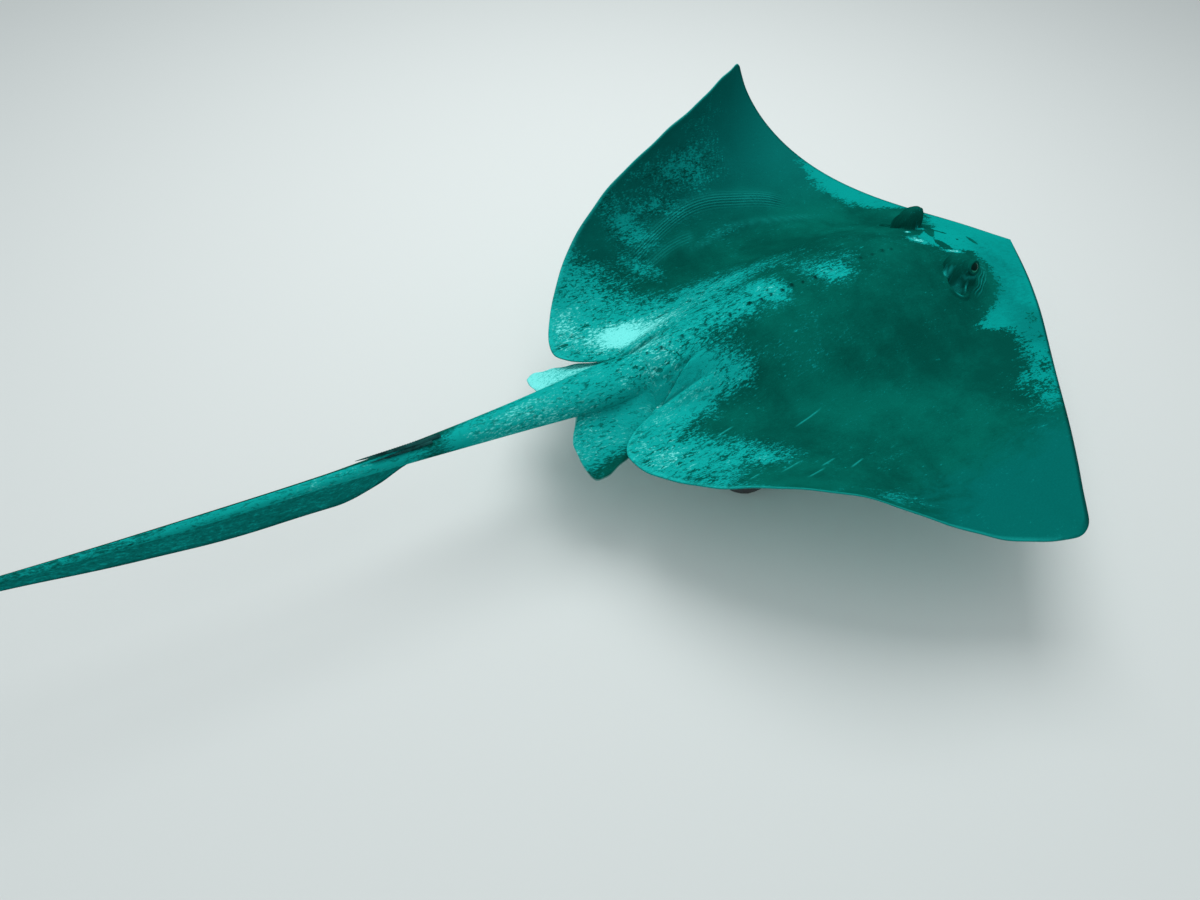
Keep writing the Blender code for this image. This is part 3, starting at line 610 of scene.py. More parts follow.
def disc_grid():
    """Flat places of the disc's rings: dictionary of (rows, columns) arrays."""
    places = np.linspace(0.0, 1.0, OUTLINE_ROWS + 1)
    margin = smooth_curve(OUTLINE, places)
    spine = np.interp(places, *zip(*SPINE))
    armpit = np.linspace(SPINE[-1][1], TAIL_ROOT, ARMPIT_ROWS + 1)[1:]
    spine = np.concatenate((spine, armpit))[:, None]
    margin = np.concatenate((margin, np.repeat(margin[-1:], ARMPIT_ROWS, axis=0)))
    ray = np.concatenate((places, np.ones(ARMPIT_ROWS)))[:, None]
    grids = {}
    parts = [np.linspace(0.0, 1.0, columns + 1)[None, :] for columns in (BACK_COLUMNS, BELLY_COLUMNS)]
    ones = np.ones_like(spine)
    half = BACK_COLUMNS + BELLY_COLUMNS + 2
    side = np.where(np.arange(2 * half) < half, 1.0, -1.0)[None, :]
    grids["x"] = ring_quarters(*(spine + (margin[:, :1] - spine) * part for part in parts))
    grids["y"] = ring_quarters(*(margin[:, 1:] * part for part in parts)) * side
    grids["part"] = ring_quarters(*(ones * part for part in parts))
    grids["reach"] = ring_quarters(*(margin[:, 1:] + 0 * part for part in parts))
    grids["ray"] = ring_quarters(*(ray + 0 * part for part in parts))
    grids["sheet"] = ring_quarters(ones + 0 * parts[0], -ones + 0 * parts[1])
    return grids


def ring_places():
    """For each column of a whole ring: its side, steps from the rim and place down the side."""
    half = BACK_COLUMNS + BELLY_COLUMNS + 2
    index = np.arange(2 * half)
    down = np.where(index <= half, index, 2 * half - index)
    return np.where(index <= half, 1.0, -1.0), np.abs(down - BACK_COLUMNS - 1), down


def root_angles(down):
    """Angle round the tail root of each column; the columns of the fins share two angles."""
    upper, lower = PELVIC_ATTACHED
    last = BACK_COLUMNS - FIN_COLUMNS
    first = BACK_COLUMNS + 2 + FIN_COLUMNS
    bottom = BACK_COLUMNS + BELLY_COLUMNS + 2
    return np.interp(down, (0, last, last + 1, first - 1, first, bottom),
                     (0, upper, upper, lower, lower, pi))


def tail_section(behind, angle):
    """One ring of the tail: an oval with the skin fold hanging from its lower side."""
    wide = eased(behind, TAIL_AT, TAIL_HALF_WIDTH)
    high = eased(behind, TAIL_AT, TAIL_HALF_HEIGHT)
    fold = eased(behind, TAIL_AT, FOLD_DEPTH)
    keel = 0.0010 * step(0.40, 0.46, behind) * step(1.02, 0.9, behind)
    y = wide * np.sin(angle)
    z = high * np.cos(angle) + keel * bell(np.minimum(angle, 2 * pi - angle) / 0.45)
    in_fold = np.clip(1 - np.abs(angle - pi) / FOLD_WINDOW, 0.0, 1.0) * min(1.0, fold / 0.004)
    down = np.clip(in_fold * 1.6, 0.0, 1.0)
    thick = FOLD_HALF_THICKNESS[0] + (FOLD_HALF_THICKNESS[1] - FOLD_HALF_THICKNESS[0]) * down
    pinch = np.minimum(np.abs(y), thick) * np.sign(y)
    y = y + (pinch - y) * np.clip(in_fold * 2, 0.0, 1.0)
    y = y - FOLD_LEAN * fold * down
    y = y + 0.0007 * sin(behind * 41) * down ** 2 * min(1.0, fold / 0.012)
    z = z - fold * down
    along = max(behind, 0.0)
    centre_z = TAIL_CENTRE_HEIGHT + TAIL_RISE[0] * along + TAIL_RISE[1] * along ** 2
    x = np.full(len(angle), TAIL_ROOT - behind)
    return np.stack((x, y + TAIL_SWAY * along ** 2, z + centre_z), axis=-1)


def fin_ring(along, ring, side, steps, down):
    """Draws the pelvic fins out of a ring of the tail root; `along` is 0 in front, 1 behind."""
    edge = smooth_curve(PELVIC_EDGE, [along])[0]
    fin = steps <= FIN_COLUMNS
    share = 1 - (steps[fin] / (FIN_COLUMNS + 1)) ** 1.2
    face = np.sign(BACK_COLUMNS + 1 - down[fin])
    start = ring[fin]
    outer = np.where(face == 0, 1.006, 1.0)
    x = start[:, 0] + (edge[0] - start[:, 0]) * share * outer
    y = np.abs(start[:, 1]) + (edge[1] - np.abs(start[:, 1])) * share * outer
    rounding = min(1.0, min(along, 1 - along) / 0.06) ** 0.5
    thick = PELVIC_HALF_THICKNESS * (1 - share) ** 0.7 * rounding + EDGE_HALF_THICKNESS

    def height(sideways, thickness, out):
        level = PELVIC_ROOT_HEIGHT - PELVIC_DROOP * (sideways - PELVIC_ROOT[0][1])
        level = level + 0.0012 * sin(along * 40) * out ** 3
        level = level + 0.0010 * np.sin(out * 9 + along * 14) * bell(out * 2 - 1)
        return level + face * thickness

    at_start = height(np.abs(start[:, 1]), PELVIC_HALF_THICKNESS * rounding + EDGE_HALF_THICKNESS, 0.0)
    z = height(y, thick, share) + (start[:, 2] - at_start) * (1 - share) ** 5
    z = z - np.where(side[fin] < 0, 0.009, 0.002) * step(0.070, 0.112, y) * step(0.2, 0.8, along)
    ring = ring.copy()
    ring[fin] = np.stack((x, y * side[fin], z), -1)
    return ring


def half_girth(ring):
    return np.linalg.norm(np.diff(ring[:len(ring) // 2 + 1], axis=0), axis=1).sum()


def unrolled(ring, side, down):
    """Sideways distance over the skin of each place of a ring, from its top or its bottom."""
    closed = np.concatenate((ring, ring[:1]))
    passed = np.concatenate(([0.0], np.cumsum(np.linalg.norm(np.diff(closed, axis=0), axis=1))))
    count = len(ring)
    bottom = passed[count // 2]
    from_top = np.where(np.arange(count) <= count // 2, passed[:-1], passed[-1] - passed[:-1])
    from_bottom = np.abs(passed[:-1] - bottom)
    return side * np.where(down > BACK_COLUMNS + 1, from_bottom, from_top)


def tail_rings(start, start_flat):
    """Rings behind the disc: lists of solid places, flat places and numbers for each place."""
    side, steps, down = ring_places()
    angle = root_angles(down)
    angle = np.where(side > 0, angle, 2 * pi - angle)
    under = np.clip((down - BACK_COLUMNS - 1) * 0.5, -0.5, 0.5) + 0.5
    fin = steps <= FIN_COLUMNS + 1
    solid, flat, below, in_fin, girths = [], [], [], [], []
    root_length = TAIL_ROOT - PELVIC_ROOT[1][0]
    for i in range(1, FIN_RINGS + 1):
        along = i / FIN_RINGS
        behind = along * root_length
        sway = np.array((0.0, TAIL_SWAY * behind ** 2, 0.0))
        ring = fin_ring(along, tail_section(behind, angle) - sway, side, steps, down) + sway
        back = np.array((-behind, 0.0, 0.0))
        slow = float(bell(1 - min(behind / ROOT_BLEND, 1.0))) ** 0.6
        fast = float(bell(1 - min(behind / FIN_BLEND, 1.0))) ** 0.6
        share = np.where(fin, 1 - (steps / (FIN_COLUMNS + 1)) ** 1.2, 0.0)
        weight = (slow + (fast - slow) * share)[:, None]
        solid.append(start + back + (ring - start - back) * weight)
        sideways = start_flat[:, 1] + (unrolled(ring, side, down) - start_flat[:, 1]) * weight[:, 0]
        flat.append(np.stack((solid[-1][:, 0], sideways, 1 - 2 * under), -1))
        below.append(under)
        in_fin.append(fin.astype(float))
        girths.append(np.full(len(ring), half_girth(ring)))
    kept = np.flatnonzero(steps > FIN_COLUMNS)
    even = np.arange(len(kept)) * 2 * pi / len(kept)
    for share in np.linspace(0.0, 1.0, TAIL_RINGS + 1)[1:] ** 1.15:
        behind = root_length + (TAIL_LENGTH - root_length) * share
        turned = angle[kept] + (even - angle[kept]) * step(root_length, root_length + 0.045, behind)
        turned = turned[::TAIL_THINNING]
        ring = tail_section(behind, turned)
        sides, downs = side[kept][::TAIL_THINNING], down[kept][::TAIL_THINNING]
        half_turn = np.minimum(turned, 2 * pi - turned) / pi
        sheet = np.where(downs > BACK_COLUMNS + 1, -1.0, 1.0)
        flat_ring = np.stack((ring[:, 0], unrolled(ring, sides, downs), sheet), -1)
        solid.append(ring)
        flat.append(flat_ring)
        below.append(step(0.735, 0.775, half_turn))
        in_fin.append(np.zeros(len(ring)))
        girths.append(np.full(len(ring), half_girth(ring)))
    return solid, flat, below, in_fin, girths, kept


def skin_mesh(looks):
    """The whole flattened skin as one mesh, denser where there is fine detail; place_skin bends it
    later.
    """
    grids = disc_grid()
    rows, columns = grids["x"].shape
    last_row = [grids[key][-1:] for key in ("x", "y", "part", "reach", "sheet", "ray")]
    start = disc_surface(*last_row, looks)[0]
    disc = np.stack((grids["x"], grids["y"], grids["sheet"]), -1)
    solid, flat, below, in_fin, girths, kept = tail_rings(start, disc[-1])
    in_tail = sum(len(ring) for ring in flat)
    faces = []
    for row in range(rows + FIN_RINGS - 1):
        a, b = row * columns, (row + 1) * columns
        for i in range(columns):
            k = (i + 1) % columns
            faces.append((a + i, a + k, b + k, b + i))
    hind = (rows + FIN_RINGS - 1) * columns
    first = hind + columns
    wide = len(kept) // TAIL_THINNING
    for i in range(wide):
        edge = [hind + kept[(i * TAIL_THINNING + k) % len(kept)] for k in range(TAIL_THINNING + 1)]
        faces.append([int(corner) for corner in edge] + [first + (i + 1) % wide, first + i])
    for rim, way in ((BACK_COLUMNS + 1, 1), (columns - BACK_COLUMNS - 1, -1)):
        for k in range(1, FIN_COLUMNS + 1):
            corners = (rim - way * (k + 1), rim - way * k, rim + way * k, rim + way * (k + 1))
            faces.append([hind + corner for corner in corners][::way])
        faces.append([hind + rim - way, hind + rim, hind + rim + way][::way])
    for ring in range(TAIL_RINGS - 1):
        a, b = first + ring * wide, first + (ring + 1) * wide
        for i in range(wide):
            k = (i + 1) % wide
            faces.append((a + i, a + k, b + k, b + i))
    faces.append([first + (TAIL_RINGS - 1) * wide + i for i in reversed(range(wide))])
    mesh = bpy.data.meshes.new("stingray_skin")
    in_disc = rows * columns
    mesh.from_pydata(np.concatenate([disc.reshape(-1, 3)] + flat).tolist(), [], faces)
    write_values(mesh, "solid", np.concatenate([np.zeros((in_disc, 3))] + solid))
    for key, disc_values, tail_values in (
            ("tail", 0.0, np.ones(in_tail)), ("below", 0.0, np.concatenate(below)),
            ("fin", 0.0, np.concatenate(in_fin)), ("girth", 0.0, np.concatenate(girths)),
            ("part", grids["part"].ravel(), np.zeros(in_tail)),
            ("reach", grids["reach"].ravel(), np.full(in_tail, 0.5)),
            ("ray", grids["ray"].ravel(), np.ones(in_tail))):
        values = np.concatenate((np.zeros(in_disc) + disc_values, tail_values))
        write_values(mesh, key, values)
    refine(mesh)
    return mesh


def write_values(mesh, name, values):
    """Stores a number or a vector for each vertex."""
    kind, slot = ("FLOAT_VECTOR", "vector") if values.ndim == 2 else ("FLOAT", "value")
    layer = mesh.attributes.get(name) or mesh.attributes.new(name, kind, "POINT")
    layer.data.foreach_set(slot, np.ascontiguousarray(values, np.float32).ravel())


def read_values(mesh, name):
    layer = mesh.attributes[name]
    wide = 3 if layer.data_type == "FLOAT_VECTOR" else 1
    values = np.zeros(len(mesh.vertices) * wide, np.float32)
    layer.data.foreach_get("vector" if wide == 3 else "value", values)
    return values.astype(float).reshape((-1, 3) if wide == 3 else -1)


def flat_places(mesh):
    values = np.zeros(len(mesh.vertices) * 3, np.float32)
    mesh.vertices.foreach_get("co", values)
    return values.astype(float).reshape(-1, 3)


def near_scars(x, y):
    close = np.zeros(np.shape(x), bool)
    for start, end in SCARS:
        close |= np.abs(beside(x, y, (start, end), 4)[0]) < 0.0055
    return close


def refine(mesh):
    """Cuts the faces smaller round the eyes, folds, thorns, scars, mouth and gills."""
    # cuts of each edge, and a test of the forward and sideways place and the sheet
    zones = (
        (4, lambda x, y, s: (s > 0) & (spot(*on_head(x, y), (0.208, 0.0755), (0.060, 0.050)) < 1)),
        (2, lambda x, y, s: (s > 0) & (np.abs(beside(x, y, WING_FOLD)[0] - 0.003) < 0.022)),
        (2, lambda x, y, s: (s > 0) & (np.abs(beside(x, y, REAR_FOLD)[0]) < 0.015)),
        (3, lambda x, y, s: (s > 0) & (np.abs(y) < 0.0085) & (x < 0.125) & (x > TAIL_ROOT)),
        (3, lambda x, y, s: (s > 0) & near_scars(x, y)),
        (3, lambda x, y, s: (s < 0) & (spot(x, y, (0.240, 0.0), (0.042, 0.064)) < 1)),
        (2, lambda x, y, s: (s < 0) & (spot(x, np.abs(y), (0.088, 0.088), (0.080, 0.026)) < 1)),
    )
    bm = bmesh.new()
    bm.from_mesh(mesh)
    for cuts, inside in zones:
        places = np.array([vert.co[:] for vert in bm.verts])
        chosen = inside(places[:, 0], places[:, 1], places[:, 2])
        bm.verts.ensure_lookup_table()
        edges = [edge for edge in bm.edges
                 if chosen[edge.verts[0].index] and chosen[edge.verts[1].index]]
        bmesh.ops.subdivide_edges(bm, edges=edges, cuts=cuts, use_grid_fill=True)
        bm.verts.index_update()
    bm.to_mesh(mesh)
    bm.free()


def place_skin(mesh, looks):
    """Moves the flattened skin to its bent shape and returns the flat places."""
    flat = flat_places(mesh)
    x, y, sheet = flat.T
    values = [read_values(mesh, key) for key in ("part", "reach", "ray")]
    points = disc_surface(x, y, values[0], values[1], sheet, values[2], looks)
    in_tail = read_values(mesh, "tail") > 0.5
    points[in_tail] = read_values(mesh, "solid")[in_tail]
    points = wrap_eyelids(points)
    mesh.vertices.foreach_set("co", in_metres(points).astype(np.float32).ravel())
    return flat, values, in_tail


# Markings ------------------------------------------------------------------------------------

def blotches(x, y, table):
    """Joins soft ovals: (forward, left, half length, half width, turn, strength)."""
    clear = np.ones_like(x)
    for forward, left, long, wide, turn, strength in table:
        oval = bell(spot(x, y, (forward, left), (long, wide), turn))
        clear = clear * (1 - np.clip(strength * oval, 0.0, 1.0))
    return 1 - clear


# Worn, light skin; 0.5 is half light, 1 is aqua and more is almost white
WORN = (
    # patches on the midline
    (0.004, -0.008, 0.050, 0.050, 0, 0.52), (-0.026, 0.012, 0.050, 0.052, 0, 0.52),
    (0.034, 0.012, 0.040, 0.034, 0, 0.30), (-0.108, 0.010, 0.048, 0.048, 0, 0.85),
    (-0.160, 0.008, 0.100, 0.060, 0, 0.60), (-0.235, 0.000, 0.110, 0.064, 0, 0.66),
    (-0.310, 0.000, 0.100, 0.080, 0, 0.92),
    # speckled field left of the midline, brightest beside the tail root
    (-0.060, 0.090, 0.110, 0.070, -10, 0.38), (-0.140, 0.100, 0.100, 0.075, -8, 0.56),
    (-0.205, 0.096, 0.110, 0.085, -6, 0.66), (-0.275, 0.090, 0.100, 0.085, -6, 0.84),
    (-0.340, 0.095, 0.100, 0.090, 0, 1.00), (-0.300, 0.040, 0.100, 0.060, 0, 0.80),
    (-0.200, 0.050, 0.110, 0.060, 0, 0.52),
    # beside the tail root on the right, and the right inner lobe
    (-0.222, -0.070, 0.055, 0.046, 10, 0.62), (-0.285, -0.064, 0.090, 0.060, 4, 1.00),
    (-0.320, -0.040, 0.100, 0.060, 0, 0.90), (-0.350, -0.078, 0.090, 0.070, 0, 1.00),
    (-0.390, -0.125, 0.095, 0.100, 0, 1.00), (-0.335, -0.160, 0.090, 0.066, -20, 0.58),
    (-0.275, -0.190, 0.100, 0.060, -25, 0.55), (-0.350, -0.215, 0.100, 0.075, -38, 0.55),
    (-0.240, -0.215, 0.060, 0.040, -15, 0.34), (-0.400, -0.020, 0.120, 0.070, 0, 1.00),
    # left inner lobe and the mottles of the left wing
    (-0.380, 0.150, 0.110, 0.110, -30, 1.00), (-0.300, 0.180, 0.110, 0.055, -28, 0.62),
    (-0.225, 0.205, 0.090, 0.045, -25, 0.48), (-0.150, 0.290, 0.100, 0.040, -22, 0.54),
    (-0.225, 0.265, 0.100, 0.045, -35, 0.54), (-0.330, 0.240, 0.130, 0.070, -48, 0.58),
    (-0.250, 0.320, 0.150, 0.050, -45, 0.44), (-0.060, 0.345, 0.130, 0.075, -5, 0.46),
    (-0.115, 0.340, 0.100, 0.060, -15, 0.36), (-0.060, 0.420, 0.110, 0.070, 10, 0.32),
    (-0.060, 0.220, 0.120, 0.024, 5, 0.26), (-0.330, -0.275, 0.080, 0.030, -38, 0.28),
    (0.060, 0.060, 0.120, 0.080, 0, 0.16), (-0.100, -0.090, 0.120, 0.080, 0, 0.12),
    (-0.190, 0.355, 0.080, 0.060, -20, 0.30), (-0.299, -0.105, 0.050, 0.030, 0, 0.30),
    (-0.175, -0.360, 0.100, 0.040, -30, 0.36),
)
# Scuffed, almost white places, and painted highlights on the head: added on top
SCUFFS_AND_HIGHLIGHTS = (
    (-0.318, 0.098, 0.062, 0.042, -8, 0.78), (-0.275, 0.090, 0.090, 0.050, -10, 0.36),
    (-0.325, 0.036, 0.070, 0.040, 0, 0.34), (-0.140, 0.100, 0.080, 0.045, -10, 0.24),
    # the spots at (0.200, 0.044) and (0.235, -0.027) are painted highlights: a glint below the left
    # brow and the upper edge of the right brow
    (0.190, 0.011, 0.028, 0.019, -40, 1.45), (0.200, 0.044, 0.010, 0.008, 0, 1.50),
    (0.236, 0.047, 0.020, 0.013, 0, 0.85), (0.235, -0.027, 0.034, 0.0065, -18, 1.40),
    (-0.268, -0.210, 0.034, 0.020, -20, 0.42),
    (-0.395, 0.120, 0.060, 0.050, 0, 0.20), (-0.110, 0.006, 0.040, 0.034, 0, 0.14),
    (0.000, 0.000, 0.040, 0.034, 0, 0.22), (-0.206, -0.084, 0.030, 0.018, 0, 0.24),
)
# Smooth skin without specks: the valleys beside the tail root and the right inner lobe
CALM = (
    (-0.285, -0.046, 0.075, 0.030, 8, 1.00), (-0.335, -0.050, 0.060, 0.034, 0, 1.00),
    (-0.300, -0.080, 0.060, 0.026, 6, 0.80), (-0.360, -0.092, 0.060, 0.030, 20, 0.60),
    (-0.315, 0.060, 0.060, 0.018, 0, 0.60), (-0.390, -0.060, 0.070, 0.040, 0, 0.60),
)
# Dark patches; the one at (0.265, -0.195) is painted shade on the right side of the light band round
# the snout
DARK_PATCHES = (
    (-0.292, 0.250, 0.070, 0.028, -50, 0.90), (-0.185, 0.345, 0.090, 0.040, -38, 0.22),
    (-0.130, 0.200, 0.130, 0.036, -10, 0.60), (0.020, 0.130, 0.150, 0.080, 0, 0.45),
    (0.180, -0.220, 0.070, 0.070, 0, 0.90), (-0.200, -0.170, 0.110, 0.060, 25, 0.80),
    (0.100, -0.200, 0.100, 0.120, 0, 0.50), (0.230, 0.120, 0.110, 0.050, 20, 0.80),
    (0.040, -0.110, 0.090, 0.060, 0, 0.45), (-0.300, -0.105, 0.070, 0.018, 8, 0.70),
    (-0.240, -0.272, 0.095, 0.044, -35, 0.90), (0.240, -0.090, 0.060, 0.050, 0, 0.60),
    (0.265, -0.195, 0.120, 0.060, 25, 0.75), (-0.300, -0.252, 0.050, 0.022, -35, 0.80),
)
# Painted highlights on the lumps and lips round a spiracle, and painted light on its floor, in its
# radii: place, size and strength
HEAD_GLINTS = (((-1.28, -0.15), (0.30, 0.38), 1.7), ((-0.60, -1.60), (0.55, 0.34), 1.2),
               ((0.15, 1.00), (0.62, 0.30), 1.6), ((0.80, 0.05), (0.20, 0.50), 0.90),
               ((0.00, 0.05), (0.85, 0.90), 0.48))
# Rear edge of the light band round the snout, from the right to the left
BAND_SIDE = (-0.500, -0.330, -0.300, -0.260, -0.220, -0.190, -0.172, -0.160, -0.148, -0.135,
             -0.120, -0.100, -0.060, -0.035, -0.022, -0.012, 0.006, 0.022, 0.034, 0.045, 0.060,
             0.090, 0.120, 0.145, 0.165, 0.180, 0.200, 0.240, 0.280, 0.320, 0.500)
BAND_EDGE = (0.200, 0.160, 0.155, 0.190, 0.225, 0.245, 0.235, 0.190, 0.195, 0.235,
             0.265, 0.285, 0.292, 0.285, 0.235, 0.215, 0.185, 0.195, 0.228, 0.262, 0.282,
             0.305, 0.345, 0.355, 0.300, 0.262, 0.235, 0.200, 0.180, 0.175, 0.200)
# Dark streaks and spots on the light band, between and ahead of the eyes; the last one is painted shade
# on the band's right side
BAND_STREAKS = (
    (0.241, 0.032, 0.034, 0.012, 54, 1.5), (0.230, -0.006, 0.026, 0.013, 102, 1.5),
    (0.260, 0.026, 0.022, 0.006, -55, 1.2), (0.302, -0.009, 0.021, 0.011, -68, 1.5),
    (0.270, -0.003, 0.009, 0.005, -60, 1.0), (0.300, -0.165, 0.050, 0.030, 30, 0.25),
)
# How light the tail is: (forward, share)
TAIL_FORWARD = (-1.50, -1.20, -1.00, -0.80, -0.70, -0.65, -0.60, -0.54, -0.47, -0.40, -0.30)
TAIL_WORN = (0.36, 0.42, 0.60, 1.00, 0.86, 0.30, 1.00, 1.14, 1.04, 0.80, 0.80)


def band_mark(x, y):
    """The light band round the snout: 0.5 on its rear edge, more ahead and less behind."""
    fade = np.interp(y, (-0.30, -0.17), (0.150, 0.055))
    front = 0.5 + (x - np.interp(y, BAND_SIDE, BAND_EDGE)) / fade
    front = np.minimum(front, np.interp(y, (-0.45, -0.30, -0.20, -0.12), (0.50, 0.58, 0.70, 1.5)))
    return front * step(0.43, 0.27, np.abs(y)) - 1.5 * blotches(x, y, BAND_STREAKS)


def worn_and_highlight_mark(x, y, off_brow):
    """Worn skin of the disc, with the scuffed places and the painted highlights of the head on top."""
    worn = blotches(x, y, WORN) * 1.04
    for forward, left, long, wide, turn, strength in SCUFFS_AND_HIGHLIGHTS:
        oval = bell(spot(x, y, (forward, left), (long, wide), turn))
        worn = worn + strength * oval * off_brow
    return worn


def tail_wear_and_painted_light(x, y, fin, out, in_fold, stripe):
    """Worn skin of the tail and the pelvic fins, with painted light on the skin fold under the tail and
    painted shade on the outer part of the right fin; `out` is the distance out along a fin.
    """
    worn = np.interp(x, TAIL_FORWARD, TAIL_WORN)
    # painted light: the skin fold under the tail, which lies in shade, is set half light
    worn = worn + (0.53 - worn) * in_fold
    worn = worn - 0.50 * bell((y - 0.012) / 0.016) * bell((x + 0.57) / 0.16)
    worn = worn + fin * np.where(y > 0, 0.55, 0.0)
    # painted shade on the drooping outer part of the right pelvic fin
    worn = worn - 0.80 * step(0.076, 0.106, out) * (y < 0)
    return worn - 0.90 * stripe


def crest_and_highlight_mark(x, y, near, off_brow, rim_highlight):
    """Light crests of folds and wrinkles, scars and lid, painted highlights on the lips and lumps round
    the right spiracle and on a lump of the brow, and a painted highlight along the rear rim.
    """
    lines = 0.80 * rim_highlight
    for path, width, shift, strength in ((WING_FOLD, 0.021, 0.003, 0.70),
                                         (INNER_FOLD, 0.012, 0.0, 0.22),
                                         (REAR_FOLD, 0.016, 0.0, 0.42)):
        off, passed = beside(x, y, path)
        crests = 0.38 + 0.62 * (0.5 + 0.5 * wrinkle_waves(off, passed)) ** 2
        lines = np.maximum(lines, strength * bell((off - shift) / width) * ends(passed) * crests)
    for start, end in SCARS:
        off, passed = beside(x, y, (start, end), 6)
        lines = np.maximum(lines, 0.9 * bell(off / 0.0017) * ends(passed, 0.3))
    head_x, span = on_head(x, y)
    waves, share = cheek_wrinkles(x, y, head_x, span, near)
    lines = np.maximum(lines, 0.60 * (0.5 + 0.5 * waves) ** 2 * share)
    _, along, across = by_spiracle(head_x, span)
    # painted highlights round the right spiracle
    for place, radii, strength in HEAD_GLINTS:
        glint = bell(np.hypot((along - place[0]) / radii[0], (across - place[1]) / radii[1]))
        lines = np.maximum(lines, strength * glint * off_brow * (y < 0))
    ahead, outwards = turned_to(x, span, BROW_AT, BROW_RADII, BROW_TURN)
    lid = bell((near - 0.90) / 0.06) * step(0.0, 0.5, outwards) * step(-0.5, 0.3, ahead)
    # painted highlight on a lump of the brow
    brow_highlight = bell(np.hypot((ahead + 0.85) / 0.20, (outwards - 0.55) / 0.28))
    return np.maximum(lines, np.maximum(0.55 * lid, 0.80 * brow_highlight) * (y < 0))


def dark_mark(x, y, near, off_brow, front_rim, looks):
    """Dark thorns and front rim, and painted shade on the spiracle walls, under the eyes and in the
    valleys beside the tail root.
    """
    dark = np.where(y < 0, 0.85, 0.45) * front_rim
    for at, sideways, size in thorn_places(looks.thorn_count):
        dot = bell(spot(x, y, (at - 0.001, sideways), (0.0056, 0.0034), 90 * size) / size)
        dark = np.maximum(dark, dot * (0.45 + 0.55 * step(0.06, -0.02, at)))
    pit, along, across = by_spiracle(*on_head(x, y))
    # painted shade on the spiracle's inner wall and under the eye
    inner_wall = bell((pit - 0.92) / 0.20) * step(-0.25, -0.65, along)
    under_eye = bell(np.hypot((along - 1.06) / 0.22, (across - 0.05) / 0.75))
    dark = np.maximum(dark, np.maximum(0.65 * inner_wall, 0.45 * under_eye) * off_brow)
    dark = np.maximum(dark, 0.08 * step(1.10, 0.85, near))
    # painted shade in the valleys beside the tail root
    for side in (1, -1):
        off, passed = beside(x, y * side, ROOT_VALLEY)
        dark = np.maximum(dark, 0.60 * bell((off - 0.002) / 0.0045) * step(0.1, 0.7, passed))
    return dark


def write_markings(mesh, flat, values, in_tail, looks):
    """Stores, for each vertex, how much of each marking the skin has there."""
    x, y, sheet = flat.T
    part, reach, ray = values
    span = np.abs(y)
    margin = (1 - part) * reach
    back = step(-0.4, 0.4, sheet)
    below, fin = read_values(mesh, "below"), read_values(mesh, "fin")
    out = np.abs(read_values(mesh, "solid")[:, 1]) * fin
    near = brow_near(x, y)
    off_brow = step(0.92, 1.04, near)
    on_tail = in_tail * step(-0.335, -0.400, x)
    in_fold = step(0.335, 0.350, TAIL_ROOT - x) * below
    # a dark stripe runs along the left of the tail, behind the stings
    stripe = step(0.000, 0.0035, y) * step(-0.62, -0.68, x) * (1 - below)
    # painted highlight along the rear rim of the disc
    rim_highlight = step(0.006, 0.0015, margin) * step(0.46, 0.52, ray) * (ray < 0.999)
    front_rim = step(0.0085, 0.003, margin) * step(0.46, 0.42, ray) * step(0.0, 0.04, ray)
    fold_rim = in_fold * step(0.0035, 0.001, span) * (sheet < 0)
    calm = blotches(x, y, CALM)
    tail_calm = np.maximum(0.55 * step(-0.36, -0.50, x), 0.9 * in_fold)
    # light crests, with the painted highlights of the head and the rear rim
    crests = crest_and_highlight_mark(x, y, near, off_brow, rim_highlight)
    dark = dark_mark(x, y, near, off_brow, front_rim, looks)

    def joined(on_disc, tail_value):
        return on_disc + (tail_value - on_disc) * on_tail

    marks = {
        "front": joined(band_mark(x, y), 0.0),
        "pale": joined(worn_and_highlight_mark(x, y, off_brow), tail_wear_and_painted_light(x, y, fin, out, in_fold, stripe)),
        "calm": np.where(in_tail, np.maximum(calm, tail_calm), calm),
        "outer": joined(step(0.28, 0.43, span) * step(-0.30, -0.02, x), 0.0),
        # painted light: the raised left wing, which faces away from the key light, is painted lighter
        "lifted": joined(step(0.16, 0.36, y) * (0.75 + 0.25 * step(-0.15, 0.06, x)), 0.0),
        "deep": joined(blotches(x, y, DARK_PATCHES), 0.12 * in_fold),
        "lines": np.where(in_tail, 0.0, crests) * back,
        "dark": np.where(in_tail, np.maximum(0.45 * stripe, 0.75 * fold_rim), dark * back),
        "belly": np.where(in_tail, below * step(-0.60, -0.45, x), 1 - back),
        "lie": np.where(in_tail, 0.0, step(0.24, 0.33, y) * step(0.10, 0.0, x)),
        "edge": np.where(in_tail, 0.0, step(0.05, 0.004, margin)),
    }
    for name, mark in marks.items():
        write_values(mesh, name, np.clip(mark, -1.0, 2.0))
    write_values(mesh, "flat", np.stack((x, y, 0.3 * sheet * (1 - in_tail)), -1))
    write_values(mesh, "rays", np.stack((ray * 6 * np.where(y < 0, -1, 1), span, 0.3 * sheet), -1))


